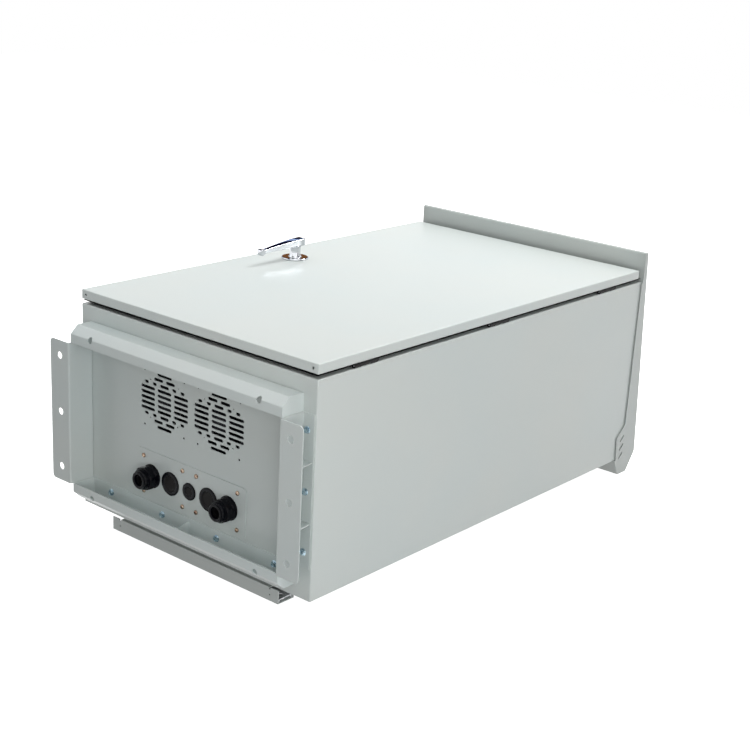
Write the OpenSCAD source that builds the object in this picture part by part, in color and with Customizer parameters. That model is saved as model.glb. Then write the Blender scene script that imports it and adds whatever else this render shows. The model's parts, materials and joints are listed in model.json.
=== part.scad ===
// Outdoor wall-mount rack cabinet with a rain hood, plinth and rear wall rails.
// Origin: centre of the base hole pattern, on the plane the plinth stands on.
// +Z is up, the door faces -Y, the wall rails face +Y.

/* [Cabinet shell] */
// Outer width of the cabinet
cab_w = 600; // [594:2:700]
// Outer depth of the cabinet
cab_d = 400; // [380:5:500]
// Outer height of the cabinet
cab_h = 1012; // [980:4:1200]
// Sheet thickness of shell, door and hood
sheet = 1.5; // [1.2:0.1:2]
// Outer radius of the folded edges
bend_r = 2.5; // [1.5:0.5:3.5]
// Width of the front flange at the sides and the bottom
flange_w = 28; // [26:1:34]
// Width of the front flange above the door opening
flange_top = 44; // [40:1:60]
// Height of the rain lip round the door opening
lip_h = 6; // [3:0.5:7]
// Length of each hood-covered air outlet in the side walls
outlet_len = 46; // [30:2:48]
// Height of each air outlet in the side walls
outlet_h = 16; // [8:1:18]

/* [Door] */
// Depth of the folded door pan
door_depth = 18.2; // [16:0.2:22]
// Gap between the door pan and the cabinet front
door_gap = 8.4; // [8:0.1:9]
// Height of cabinet front left bare above the door
door_top_gap = 16; // [12:1:20]
// Width of the rear hem of the door pan
hem_w = 24; // [22:1:25]
// Distance of the gasket from the edge of the door
gasket_inset = 8.4; // [8:0.1:9]
// Width of the door gasket
gasket_w = 11; // [8:0.5:12]
// Clearance between the gasket and the closed cabinet front
gasket_gap = 0.3; // [0.2:0.1:0.6]
// Radius of the drain holes in the bottom of the door
drain_r = 2.5; // [1.5:0.25:3]
// Distance of the drain holes from the door edge
drain_inset = 12; // [8:0.5:14]
// Width of the hat-shaped stiffeners
stiff_w = 40; // [30:2:60]
// Depth of the hat-shaped stiffeners
stiff_h = 12; // [8:1:15]
// Distance of the stiffeners from the door centre
stiff_x = 110; // [80:5:130]

/* [Hinges] */
// Radius of the hinge knuckles
knuckle_r = 3.7; // [3.4:0.1:3.8]
// Radius of the hinge pins
hinge_pin_r = 1.6; // [1.2:0.1:2]
// Running clearance of the hinge pins
pin_fit = 0.05; // [0.02:0.01:0.1]
// Distance of the hinge pins from the cabinet side
pin_inset = 3.6; // [3.4:0.1:4]
// Length of the knuckles on the cabinet
knuckle_len = 18; // [14:1:30]
// Length of the knuckle on the door
door_knuckle_len = 24; // [16:1:40]
// End clearance between the knuckles
knuckle_gap = 0.4; // [0.3:0.1:0.8]
// Distance of the outer hinges from the ends of the door
hinge_inset = 120; // [90:5:180]

/* [Handle and latch] */
// Distance of the handle spindle from the free edge of the door
handle_inset = 75.4; // [72:0.2:90]
// Height of the handle spindle above the cabinet floor
handle_z = 491.4; // [440:0.2:540]
// Radius of the round handle rose
rose_r = 28; // [24:1:34]
// Thickness of the handle rose
rose_t = 4; // [3:0.5:6]
// Radius of the handle post
post_r = 11.5; // [9:0.5:13]
// Height of the lever above the door face
lever_stand = 26; // [25:1:40]
// Length of the lever below the spindle
lever_len = 106; // [90:2:130]
// Length of the lever above the spindle
lever_head = 20; // [17:0.5:22]
// Width of the lever at its head
lever_w = 21; // [20:1:30]
// Thickness of the lever at its head
lever_t = 15; // [12:0.5:17]
// Width across the square spindle
spindle_w = 8; // [7:0.5:9]
// Running clearance round the handle post and spindle
turn_gap = 0.3; // [0.3:0.1:0.6]
// Width of the latch housing
housing_w = 46; // [40:1:52]
// Height of the latch housing
housing_h = 84; // [70:2:110]
// Thickness of the latch cam
cam_t = 3; // [2.5:0.5:4]
// Radius of the round part of the cam
cam_r = 20; // [18:0.5:24]
// How far the turned cam reaches behind the front flange
cam_hold = 10; // [6:1:14]
// Radius at which the rod pins sit on the cam
crank_r = 14; // [13:0.5:15]
// Radius of the rod pins on the cam
crank_pin_r = 2.5; // [2:0.25:3]
// Radius of the latch rods
rod_r = 4; // [3.5:0.5:5]
// Clearance of the rods in their guides and of the pins in their slots
rod_gap = 0.3; // [0.3:0.1:0.6]
// Clearance between a withdrawn rod and the edge of the door opening
rod_clear = 3; // [2:0.5:6]

/* [Rain hood] */
// Overhang of the hood in front of the cabinet
hood_front = 62.4; // [50:1:90]
// Overhang of the hood behind the cabinet
hood_rear = 35.7; // [25:1:50]
// Height of the front lip of the hood
hood_lip = 9.5; // [8:0.5:16]
// Rise of the hood from its front lip to its ridge
hood_rise = 31.5; // [20:1:45]
// Drop of the hood from its ridge to its rear edge
hood_fall = 30; // [20:1:40]
// Height of the rear wall of the hood
hood_back_h = 33.6; // [25:1:45]
// Gap between the hood skirts and the cabinet sides
skirt_gap = 1.5; // [1:0.25:3]
// Depth of the skirts below the cabinet top at the front
skirt_front = 4.2; // [2:0.2:8]
// Depth of the skirts below the cabinet top at the outlets
skirt_deep = 40.5; // [30:1:60]
// Length of the deep part of the skirts
skirt_deep_len = 52.5; // [48:1:80]
// Length of each slanted vent slot
vent_len = 19; // [12:1:22]
// Width of each slanted vent slot
vent_w = 4; // [2:0.5:6]
// Pitch of the vent slots
vent_pitch = 20; // [12:1:24]
// Number of vent slots in each skirt
vent_count = 3; // [2:1:3]

/* [Plinth and brackets] */
// Height of the plinth under the cabinet
plinth_h = 56; // [46:2:80]
// Height of the plinth bars' feet above the standing face
bar_lift = 6; // [0:0.5:8]
// Sheet thickness of plinth bars and brackets
plinth_t = 2; // [1.5:0.5:3]
// Inner radius of the folds in hood, bars, brackets and rails
fold_r = 1.5; // [1:0.5:2.5]
// Distance of the plinth bar ends from the cabinet sides
bar_inset = 30; // [24:1:50]
// Distance of the plinth bars' outer walls behind the cabinet's edges
bar_setback = 28.5; // [22:0.5:34]
// Depth of each plinth bar
bar_d = 32.5; // [28:0.5:36]
// Depth of the strip each plinth bar stands on
bar_foot = 15; // [12:1:18]
// Height of the sloping face of each plinth bar
bar_slope_h = 16; // [12:1:24]
// Distance of the outer bar bolts from the bar ends
bar_bolt_end = 54; // [30:1:80]
// Radius of the driver holes in the plinth bars
driver_r = 6; // [5:0.5:8]
// Distance of the base holes from the web of their bracket
base_hole_reach = 26; // [20:1:32]
// Distance of the outer base holes from the bracket ends
base_hole_end = 29; // [20:1:50]
// Radius of the base holes
base_hole_r = 7; // [5:0.5:8]
// Width of the foot flange beyond the row of base holes
foot_edge = 26.5; // [18:0.5:30]
// Width of the flange that holds a bracket to the cabinet
top_flange = 27; // [24:1:30]
// Radius of the foot flange corners
foot_r = 8; // [4:1:14]

/* [Cable entry] */
// Width of the gland plate
plate_w = 287; // [280:1:320]
// Depth of the gland plate
plate_d = 96.5; // [90:0.5:103]
// Distance of the gland plate centre behind the cabinet centre
plate_y = 87; // [80:1:90]
// Thickness of the gland plate
plate_t = 1.5; // [1.5:0.5:3]
// Thickness of the gland plate gasket
plate_seal_t = 0.5; // [0.5:0.25:2]
// Distance of the cable glands from the middle
gland_x = 101; // [99:1:105]
// Radius of the gland thread
gland_r = 16; // [14:0.5:17]
// Width across the flats of the cable glands
gland_af = 42; // [38:1:44]
// Height of the hexagon of the gland body
gland_hex_h = 10; // [8:1:14]
// Height of the domed gland nut
dome_h = 24; // [18:1:25]
// Radius of the cable opening
cable_r = 9.5; // [8:0.5:10]
// Distance of the large grommets from the middle
grommet_x = 50; // [48:1:52]
// Outer radius of the large grommets
grommet_big_r = 22.5; // [20:0.5:24]
// Outer radius of the small grommet
grommet_small_r = 16.5; // [14:0.5:19]

/* [Fans] */
// Width of each fan frame
fan_w = 120; // [116:1:120]
// Depth of each fan frame
fan_h = 25; // [20:1:38]
// Distance of the fan centres from the middle
fan_x = 70.5; // [66:0.5:80]
// Distance of the fan centres in front of the cabinet centre
fan_y = 62; // [56:1:66]
// Pitch of the fan screws
fan_pitch = 105; // [104:0.5:106]
// Pitch of the slot rows in the fan grilles
row_pitch = 10; // [9.5:0.5:11]
// Width of the slots in the fan grilles
slot_w = 5.8; // [4:0.2:6.6]
// Number of fan blades
blade_count = 7; // [5:1:9]

/* [Rack rails] */
// Least free height above and below the rack rails
rack_end_gap = 45; // [40:1:120]
// Distance of the rack rails from the side walls
rack_gap = 31.5; // [28:0.5:40]
// Width of the face of the rack rails
rack_face = 42; // [40:0.5:44]
// Sheet thickness of the rack rails
rack_t = 2; // [1.5:0.5:2.5]
// Depth of the side flange of the rack rails
rack_flange = 40; // [34:2:50]
// Distance of the front rack rails behind the cabinet front
rack_front = 62; // [50:2:90]
// Distance of the rear rack rails in front of the cabinet back
rack_rear = 50; // [40:2:80]
// Height of the depth bars
depth_bar_h = 30; // [26:1:40]
// Distance of the outer depth bars from the ends of the rack rails
depth_bar_inset = 70; // [40:1:150]
// Distance of the depth bars from the cabinet front and back
depth_bar_gap = 30; // [15:1:50]

/* [Wall rails] */
// Distance of the wall rail ends from the cabinet sides
wall_rail_inset = 79; // [40:1:90]
// Height of each wall rail
wall_rail_h = 40; // [36:1:50]
// Depth of each wall rail
wall_rail_d = 26; // [26:1:34]
// Distance of the outer rail bolts from the rail ends
rail_bolt_end = 41; // [36:1:60]
// Thickness of the spacers behind the wall rails
spacer_t = 8; // [6:0.5:12]
// Height of the lower wall rail above the cabinet floor
wall_rail_low = 5; // [5:1:40]
// Distance of the upper wall rail below the cabinet top
wall_rail_top = 62; // [56:2:120]
// Distance of the wall holes from the ends of a rail
wall_hole_inset = 12; // [10:0.5:14]
// Radius of the wall holes
wall_hole_r = 5.5; // [4.5:0.5:6.5]

/* [Hidden] */
$fn = 48;
// Extra length of every cut, so that it passes through its wall
cut = 1;

// Colours of the finishes
shell_grey = [0.80, 0.83, 0.82];
plinth_grey = [0.78, 0.82, 0.82];
black_rubber = [0.06, 0.06, 0.07];
black_nylon = [0.08, 0.08, 0.10];
chrome = [0.80, 0.81, 0.84];
blue_zinc = [0.62, 0.70, 0.78];
yellow_zinc = [0.72, 0.55, 0.30];
raw_steel = [0.66, 0.67, 0.68];

// Planes of the cabinet
x_side = cab_w / 2;
y_front = -cab_d / 2;
y_back = cab_d / 2;
z_floor = plinth_h;
z_top = plinth_h + cab_h;
x_wall = x_side - sheet;
x_open = x_side - flange_w;
z_open0 = z_floor + flange_w;
z_open1 = z_top - flange_top;

// Planes of the door
y_door_back = y_front - door_gap;
y_door_face = y_door_back - door_depth;
y_door_inner = y_door_face + sheet;
door_h = cab_h - door_top_gap;
z_door_top = z_floor + door_h;

// Hinge axis and hinge places
hinge_x = x_side - pin_inset;
hinge_y = y_front - door_gap / 2;
hinge_zs = [z_floor + hinge_inset, z_floor + door_h / 2, z_door_top - hinge_inset];
// How far a knuckle foot reaches beyond the pin, towards the cabinet side
foot_out = 2;
hinge_fit_r = hinge_pin_r + pin_fit;
pin_head_r = hinge_pin_r + 1.2;
pin_head_h = 1.5;

// Latch places
spindle_x = -x_side + handle_inset;
spindle_z = z_floor + handle_z;
// Clearance of the cam behind the front flange, and of what lies layer by layer behind it
cam_gap = 0.7;
layer_gap = 0.5;
y_cam = y_front + sheet + cam_gap;
y_rod_plate = y_cam + cam_t + layer_gap;
rod_plate_t = 3;
y_rod = y_cam + cam_t + layer_gap + rod_r;
cam_reach = x_open + spindle_x + cam_hold;
cam_tongue_w = 20;
// The cam carries its pins from 45 degrees below to 45 degrees above the spindle
crank_angle = 45;
crank_side = crank_r * cos(crank_angle);
rod_stroke = 2 * crank_r * sin(crank_angle);
// Largest distance between the turning pin and the evenly moved rod
crank_lag = crank_r * 0.03;
rod_side = (crank_side + crank_r) / 2;
rod_plate_w = crank_r - crank_side + 2 * (crank_pin_r + rod_gap) + 4;
spindle_hole_r = spindle_w / sqrt(2) + turn_gap;
guide_pitch = 36;
guide_t = 2.5;
guide_w = 22;
guide_inset = 40;
cam_screw_r = 2.5;

// Hood outline
hood_w = cab_w + 2 * (skirt_gap + sheet);
y_hood = y_front - hood_front;
y_tail = y_back + hood_rear;
y_ridge = y_back - 5.3;
z_lip = z_top + hood_lip;
z_ridge = z_lip + hood_rise;
z_tail_top = z_ridge - hood_fall;
z_tail = z_tail_top - hood_back_h;
z_skirt = z_top - skirt_deep;
hood_seat = 24;
chin_seat = 22;
// Slant of the skirt edge down to its deep part
skirt_slant = 27;
skirt_rise = 6;

// Plinth
lever_corner = 5;
lever_neck_w = 9.5;
lever_neck_z = -lever_len + 17;
lever_neck_out = 6.6;
lever_tip_r = 6.5;
lever_tip_out = 2.5;
y_bar = cab_d / 2 - bar_setback;
bar_len = cab_w - 2 * bar_inset;
bar_bolt_x = bar_len / 2 - bar_bolt_end;
bar_bolt_inset = bar_d / 2 + 0.25;
bar_slope_z = bar_lift + bar_slope_h;
bracket_len = 2 * (y_bar - bar_d);
bracket_web_x = bar_len / 2;
base_hole_x = bracket_web_x + base_hole_reach;
base_hole_dy = bracket_len / 2 - base_hole_end;
foot_x = base_hole_x + foot_edge;
bolt_r = 3;
bolt_fit = 0.1;
bolt_af = 10;
bolt_flange_r = 6.5;
bolt_flange_t = 1.2;
bolt_head_h = 4.2;
nut_h = 5;
top_bolt_x = bracket_web_x + 12;
gusset_y = base_hole_dy / 2;
cap_t = plinth_t;

// Cable entry
z_plate = z_floor - plate_seal_t;
z_plate_low = z_plate - plate_t;
plate_corner = 8;
plate_screw_in = 20.5;
plate_screw_mid = 18;
plate_screw_dy = 35;
plate_cut_w = plate_w - 27;
plate_cut_d = 2 * plate_screw_dy - 14;
screw_r = 2;
screw_fit = 0.1;
grommet_lip = 4;
gland_wall = 3.5;
gland_neck_r = gland_r - 0.5;
locknut_h = 6;
dome_lip_h = 6;
dome_hex_h = 12;
gland_seal_h = (gland_hex_h + dome_h) / 2;

// Fans
fan_bore_r = fan_w / 2 - 2;
fan_hub_r = 19;
fan_tip_gap = 1.5;
fan_flange_t = 4;
fan_wall = 2;
fan_base_t = 5;
z_fan = z_floor + sheet;
fan_shaft_r = 1.5;
fan_boss_r = 4;
fan_run_gap = 0.5;
fan_screw_r = 2;
fan_hole_r = 2.2;

// Rack: unit, hole steps and square hole as the 19-inch rack standard sets them
unit = 44.45;
rack_hole = 9.5;
hole_steps = [6.35, 22.225, 38.1];
rack_edge = 34.45;
rack_x1 = x_wall - rack_gap;
rack_x0 = rack_x1 - rack_face;
rack_units = floor((cab_h - 2 * rack_end_gap) / unit);
rack_end = 8;
rack_h = rack_units * unit + 2 * rack_end;
z_rack = z_floor + (cab_h - rack_h) / 2;
y_rack_front = y_front + rack_front;
y_rack_rear = y_back - rack_rear;
depth_bar_len = cab_d - 2 * depth_bar_gap;
depth_bar_t = 1.5;
depth_bar_zs = [for (k = [-1 : 1]) z_rack + rack_h / 2 + k * (rack_h / 2 - depth_bar_inset)];

// Wall rails
y_rail = y_back + spacer_t;
y_rail_back = y_rail + wall_rail_d;
z_rail_low = z_floor + wall_rail_low;
z_rail_up = z_top - wall_rail_top - wall_rail_h;
rail_zs = [z_rail_low, z_rail_up];
wall_rail_len = cab_w - 2 * wall_rail_inset;
wall_hole_x = wall_rail_len / 2 - wall_hole_inset;
rail_t = 2;
rail_ear = 19;
rail_notch = 4;
rail_bolt_r = 4;
rail_bolt_xs = [for (k = [-1, -1 / 3, 1 / 3, 1]) k * (wall_rail_len / 2 - rail_bolt_end)];
rail_nut_af = 13;
rail_nut_h = 6.5;
stiff_rail_h = wall_rail_h - 8;
stiff_rail_d = 6;
spacer_r = 9;

// Geometry helpers

function unit_of(v) = v / norm(v);
function left_of(v) = [-v[1], v[0]];
function turned(v, a) = [v[0] * cos(a) - v[1] * sin(a), v[0] * sin(a) + v[1] * cos(a)];
// Direction of a path before and after one of its points
function dir_in(path, i) = unit_of(i > 0 ? path[i] - path[i - 1] : path[1] - path[0]);
function dir_out(path, i) = i < len(path) - 1 ? unit_of(path[i + 1] - path[i]) : dir_in(path, i);
// Angle by which a path turns to the left at one of its points
function turn_at(path, i) = let (a = dir_in(path, i), b = dir_out(path, i))
  atan2(a[0] * b[1] - a[1] * b[0], a * b);
// The mitred corner, at point i, of a line that runs beside a path, o to its left
function beside(path, i, o) =
  let (a = dir_in(path, i), b = dir_out(path, i))
  path[i] + o * (left_of(a) + left_of(b)) / (1 + a * b);
// The same line with every fold rounded, for a sheet of thickness t and an inner radius r
function face_line(path, o, t, r) = [
  for (i = [0 : len(path) - 1])
    let (a = turn_at(path, i), s = sign(a), q = beside(path, i, o), d = dir_in(path, i),
         fr = r + max(0, t * s) - o * s, c = q - d * fr * tan(abs(a) / 2) + s * fr * left_of(d))
    each abs(a) < 1 ? [q] : [for (k = [0 : fold_steps]) c - s * fr * left_of(turned(d, a * k / fold_steps))]
];
fold_steps = 6;

// Section of a folded sheet: the path is one face, the sheet lies on its left
module sheet_section(path, t, r = fold_r) {
  back = face_line(path, t, t, r);
  polygon(concat(face_line(path, 0, t, r), [for (i = [len(back) - 1 : -1 : 0]) back[i]]));
}

// Extrudes a section drawn in (y, z) along X, centred
module along_x(length) {
  translate([-length / 2, 0, 0]) rotate([90, 0, 90]) linear_extrude(length) children();
}

// Extrudes a section drawn in (x, z) along +Y from y0
module along_y(length, y0) {
  translate([0, y0 + length, 0]) rotate([90, 0, 0]) linear_extrude(length) children();
}

module rounded_rect(w, h, r) {
  union() {
    square([w - 2 * r, h], center = true);
    square([w, h - 2 * r], center = true);
    for (x = [-1, 1], y = [-1, 1]) translate([x * (w / 2 - r), y * (h / 2 - r)]) circle(r);
  }
}

// Folded box with every outer edge rounded, standing on z = 0
module folded_block(w, d, h, r) {
  intersection() {
    linear_extrude(h) rounded_rect(w, d, r);
    translate([0, 0, h / 2]) rotate([90, 0, 90]) translate([0, 0, -w / 2]) linear_extrude(w)
      rounded_rect(d, h, r);
    translate([0, d / 2, h / 2]) rotate([90, 0, 0]) linear_extrude(d) rounded_rect(w, h, r);
  }
}

// Slot with round ends, from x0 to x1
module slot(x0, x1, w) {
  translate([(x0 + x1) / 2, 0]) square([x1 - x0 - w, w], center = true);
  for (x = [x0 + w / 2, x1 - w / 2]) translate([x, 0]) circle(d = w);
}

module hexagon(af) {
  circle(d = af / cos(30), $fn = 6);
}

// Flange-headed bolt: head below z = 0, shank going up
module flange_bolt(length) {
  translate([0, 0, -bolt_flange_t]) cylinder(r = bolt_flange_r, h = bolt_flange_t);
  translate([0, 0, -bolt_head_h]) linear_extrude(bolt_head_h) hexagon(bolt_af);
  cylinder(r = bolt_r, h = length);
}

// Hexagon nut standing on z = 0
module hex_nut(af, h, r) {
  difference() {
    linear_extrude(h) hexagon(af);
    translate([0, 0, -cut]) cylinder(r = r + bolt_fit, h = h + 2 * cut);
  }
}

// Mirrored copy for the other side
module both_sides() {
  children();
  mirror([1, 0, 0]) children();
}

// Places

function base_bolt_spots() = concat(
  [for (x = [-1, -1 / 3, 1 / 3, 1], s = [-1, 1]) [x * bar_bolt_x, s * (y_bar - bar_bolt_inset)]],
  [for (s = [-1, 1], y = [-1, 0, 1]) [s * top_bolt_x, y * base_hole_dy]]
);
function plate_screw_spots() = [
  for (x = [-plate_w / 2 + plate_screw_in, -plate_screw_mid, plate_screw_mid,
            plate_w / 2 - plate_screw_in], s = [-1, 1])
    [x, plate_y + s * plate_screw_dy]
];
function fan_screw_spots() = [
  for (f = [-1, 1], x = [-1, 1], y = [-1, 1])
    [f * fan_x + x * fan_pitch / 2, -fan_y + y * fan_pitch / 2]
];
function hood_top_spots() = [for (x = [-0.38, 0, 0.38]) x * cab_w];
function hood_top_y() = y_front + hood_seat / 2;
function hood_back_z() = z_skirt + sheet + chin_seat / 2;

// Cabinet shell

// Slots of one fan grille: rows that fill a circle, laid out in multiples of the row pitch
module fan_grille() {
  p = row_pitch;
  for (s = [-1, 1]) {
    for (i = [0 : 2]) translate([0, s * i * p]) {
      both_sides() slot(2.5 * p, 6.25 * p, slot_w);
      slot(-1.85 * p, 1.85 * p, slot_w);
    }
    translate([0, s * 3 * p]) {
      both_sides() slot(2.05 * p, 3.15 * p, slot_w);
      both_sides() slot(4.2 * p, 5.3 * p, slot_w);
      slot(-1.17 * p, 1.17 * p, slot_w);
    }
    translate([0, s * 4 * p]) both_sides() slot(0.37 * p, 2.76 * p, slot_w);
    translate([0, s * 5 * p]) slot(-1.95 * p, 1.95 * p, slot_w);
    both_sides() translate([3.65 * p, s * 3.6 * p]) circle(r = 1.5);
  }
}

module floor_cuts() {
  for (f = [-1, 1]) translate([f * fan_x, -fan_y]) fan_grille();
  for (p = fan_screw_spots()) translate(p) circle(r = fan_hole_r);
  for (p = base_bolt_spots()) translate(p) circle(r = bolt_r + bolt_fit);
  for (p = plate_screw_spots()) translate(p) circle(r = screw_r + screw_fit);
  translate([0, plate_y]) rounded_rect(plate_cut_w, plate_cut_d, 5);
}

module door_opening(extra, y0, length) {
  translate([-x_open - extra, y0, z_open0 - extra])
    cube([2 * (x_open + extra), length, z_open1 - z_open0 + 2 * extra]);
}

module enclosure() color(shell_grey) difference() {
  union() {
    translate([0, 0, z_floor]) folded_block(cab_w, cab_d, cab_h, bend_r);
    door_opening(sheet, y_front - lip_h, lip_h + sheet / 2);
  }
  translate([-x_wall, y_front + sheet, z_floor + sheet])
    cube([2 * x_wall, cab_d - 2 * sheet, cab_h - 2 * sheet]);
  door_opening(0, y_front - lip_h - cut, lip_h + sheet + 2 * cut);
  translate([0, 0, z_floor - cut]) linear_extrude(sheet + 2 * cut) floor_cuts();
  translate([-x_side - cut, y_back - 8 - outlet_len, z_top - 12 - outlet_h])
    cube([cab_w + 2 * cut, outlet_len, outlet_h]);
  for (x = hood_top_spots()) {
    translate([x, hood_top_y(), z_top - sheet - cut])
      cylinder(r = bolt_r + bolt_fit, h = sheet + 2 * cut);
    translate([x, y_back + cut, hood_back_z()]) rotate([90, 0, 0])
      cylinder(r = bolt_r + bolt_fit, h = sheet + 2 * cut);
  }
  for (z = rail_zs, x = rail_bolt_xs)
    translate([x, y_back + cut, z + wall_rail_h / 2]) rotate([90, 0, 0])
      cylinder(r = rail_bolt_r + bolt_fit, h = sheet + 2 * cut);
}

// Rain hood

// The folded line of the hood, from the foot of its rear wall to its front seat
function hood_path() = [
  [y_back, z_skirt + sheet + chin_seat],
  [y_back, z_skirt],
  [y_tail, z_tail],
  [y_tail, z_tail_top],
  [y_ridge, z_ridge],
  [y_hood, z_lip],
  [y_hood, z_top],
  [y_front + hood_seat, z_top],
];

module skirt_outline() {
  line = face_line(hood_path(), 0, sheet, fold_r);
  polygon(concat([for (i = [1 : len(line) - 2]) line[i]], [
    [y_front - 4, z_top],
    [y_front + 5, z_top - skirt_front],
    [y_back - skirt_deep_len - skirt_slant, z_top - skirt_front - skirt_rise],
    [y_back - skirt_deep_len, z_skirt],
  ]));
}

module skirt_vents() {
  for (i = [0 : vent_count - 1])
    translate([y_back - 48.5 + i * vent_pitch, z_top - 18.2])
      rotate(-45) slot(-vent_len / 2, vent_len / 2, vent_w);
}

module roof_hood() color(shell_grey) difference() {
  union() {
    along_x(hood_w) sheet_section(hood_path(), sheet);
    both_sides() translate([x_side + skirt_gap, 0, 0]) rotate([90, 0, 90])
      linear_extrude(sheet) difference() {
        skirt_outline();
        skirt_vents();
      }
  }
  for (x = hood_top_spots()) {
    translate([x, hood_top_y(), z_top - cut]) cylinder(r = bolt_r + bolt_fit, h = sheet + 2 * cut);
    translate([x, y_back + sheet + cut, hood_back_z()]) rotate([90, 0, 0])
      cylinder(r = bolt_r + bolt_fit, h = sheet + 2 * cut);
  }
}

module hood_bolts() color(blue_zinc) for (x = hood_top_spots()) {
  translate([x, hood_top_y(), z_top - sheet]) flange_bolt(2 * sheet + nut_h);
  translate([x, y_back - sheet, hood_back_z()]) rotate([-90, 0, 0]) flange_bolt(2 * sheet + nut_h);
}

module hood_nuts() color(blue_zinc) for (x = hood_top_spots()) {
  translate([x, hood_top_y(), z_top + sheet]) hex_nut(bolt_af, nut_h, bolt_r);
  translate([x, y_back + sheet, hood_back_z()]) rotate([-90, 0, 0]) hex_nut(bolt_af, nut_h, bolt_r);
}

// Door

module door_panel() color(shell_grey) difference() {
  translate([0, (y_door_face + y_door_back) / 2, z_floor])
    folded_block(cab_w, door_depth, door_h, 2);
  translate([-x_wall, y_door_inner, z_floor + sheet])
    cube([2 * x_wall, door_depth - 2 * sheet, door_h - 2 * sheet]);
  translate([-x_side + hem_w, y_door_back - sheet - cut, z_floor + hem_w])
    cube([cab_w - 2 * hem_w, sheet + 2 * cut, door_h - 2 * hem_w]);
  translate([spindle_x, y_door_inner + cut, spindle_z]) rotate([90, 0, 0])
    cylinder(r = post_r + turn_gap, h = sheet + 2 * cut);
  both_sides() translate([x_side - drain_inset, (y_door_face + y_door_back) / 2, z_floor - cut])
    cylinder(r = drain_r, h = sheet + 2 * cut);
}

module gasket_block(inset, y0, length) {
  translate([-x_side + inset, y0, z_floor + inset])
    cube([cab_w - 2 * inset, length, door_h - 2 * inset]);
}

module door_gasket() color(black_rubber) difference() {
  gasket_block(gasket_inset, y_door_back, door_gap - gasket_gap);
  gasket_block(gasket_inset + gasket_w, y_door_back - cut, door_gap + 2 * cut);
}

// Hat-shaped stiffener on the inside of the door
module stiffener() {
  w = stiff_w / 2;
  translate([0, y_door_inner, z_floor + hem_w + 6]) linear_extrude(door_h - 2 * hem_w - 12)
    sheet_section([
      [w, 0], [w / 2 + sheet, 0], [w / 2 - 2, stiff_h - sheet],
      [-w / 2 + 2, stiff_h - sheet], [-w / 2 - sheet, 0], [-w, 0],
    ], -sheet);
}

module door_stiffener_left() color(shell_grey) translate([-stiff_x, 0, 0]) stiffener();
module door_stiffener_right() color(shell_grey) translate([stiff_x, 0, 0]) stiffener();

// Hinges

module knuckle(length, foot_dir, foot_len) {
  difference() {
    union() {
      cylinder(r = knuckle_r, h = length);
      translate([-knuckle_r, foot_dir > 0 ? 0 : -foot_len, 0])
        cube([knuckle_r + foot_out, foot_len, length]);
    }
    translate([0, 0, -cut]) cylinder(r = hinge_fit_r, h = length + 2 * cut);
  }
}

module hinge_body_knuckles() color(black_nylon) for (z = hinge_zs)
  for (z0 = [-door_knuckle_len / 2 - knuckle_gap - knuckle_len, door_knuckle_len / 2 + knuckle_gap])
    translate([hinge_x, hinge_y, z + z0]) knuckle(knuckle_len, 1, door_gap / 2);

module hinge_door_knuckles() color(black_nylon) for (z = hinge_zs)
  translate([hinge_x, hinge_y, z - door_knuckle_len / 2])
    knuckle(door_knuckle_len, -1, door_gap / 2);

module hinge_pins() color(raw_steel) for (z = hinge_zs)
  translate([hinge_x, hinge_y, z - door_knuckle_len / 2 - knuckle_gap - knuckle_len]) {
    pin_len = door_knuckle_len + 2 * (knuckle_gap + knuckle_len);
    cylinder(r = hinge_pin_r, h = pin_len);
    translate([0, 0, pin_len]) cylinder(r = pin_head_r, h = pin_head_h);
  }

// Handle and latch

// Turns +Z to +Y, so that a part drawn upwards points into the cabinet
module inwards(y0) {
  translate([spindle_x, y0, spindle_z]) rotate([-90, 0, 0]) children();
}

module handle_rose() color(chrome) inwards(y_door_face - rose_t) difference() {
  union() {
    cylinder(r1 = rose_r - 2, r2 = rose_r, h = rose_t / 2);
    translate([0, 0, rose_t / 2]) cylinder(r = rose_r, h = rose_t / 2);
  }
  translate([0, 0, -cut]) cylinder(r = post_r + turn_gap, h = rose_t + 2 * cut);
}

// Lever seen from the front, in (x, z) about the spindle
module lever_face() {
  w = lever_w / 2;
  both_sides() translate([w - lever_corner, lever_head - lever_corner]) circle(lever_corner);
  translate([-w + lever_corner, -4]) square([lever_w - 2 * lever_corner, lever_head + 4]);
  polygon([
    [-w, lever_head - lever_corner], [-w, -4], [-lever_neck_w / 2, lever_neck_z],
    [lever_neck_w / 2, lever_neck_z], [w, -4], [w, lever_head - lever_corner],
  ]);
  translate([-lever_neck_w / 2, -lever_len + 8])
    square([lever_neck_w, lever_neck_z + lever_len - 8]);
  translate([0, -lever_len + lever_tip_r]) circle(lever_tip_r);
}

// Lever seen from the side, in (y, z) about the spindle, y away from the door being negative
module lever_side() {
  polygon([
    [0, lever_head], [-lever_t + 2, lever_head], [-lever_t, lever_head - 3], [-lever_t, 8],
    [-lever_neck_out, lever_neck_z], [-lever_neck_out, -lever_len + 8],
    [2, -lever_len + 8], [2, lever_neck_z], [0, -6],
  ]);
  translate([-lever_tip_out, -lever_len + lever_tip_r - 1]) circle(lever_tip_r - 1);
}

module handle_lever() color(chrome) {
  translate([spindle_x, y_door_face - lever_stand, spindle_z]) intersection() {
    along_y(lever_len, -lever_len / 2) lever_face();
    along_x(lever_w) lever_side();
  }
  inwards(y_door_face - lever_stand) cylinder(r = post_r, h = lever_stand - turn_gap);
  inwards(y_door_face - lever_stand)
    translate([-spindle_w / 2, -spindle_w / 2, 0])
    cube([spindle_w, spindle_w, y_cam + cam_t - y_door_face + lever_stand]);
}

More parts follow.
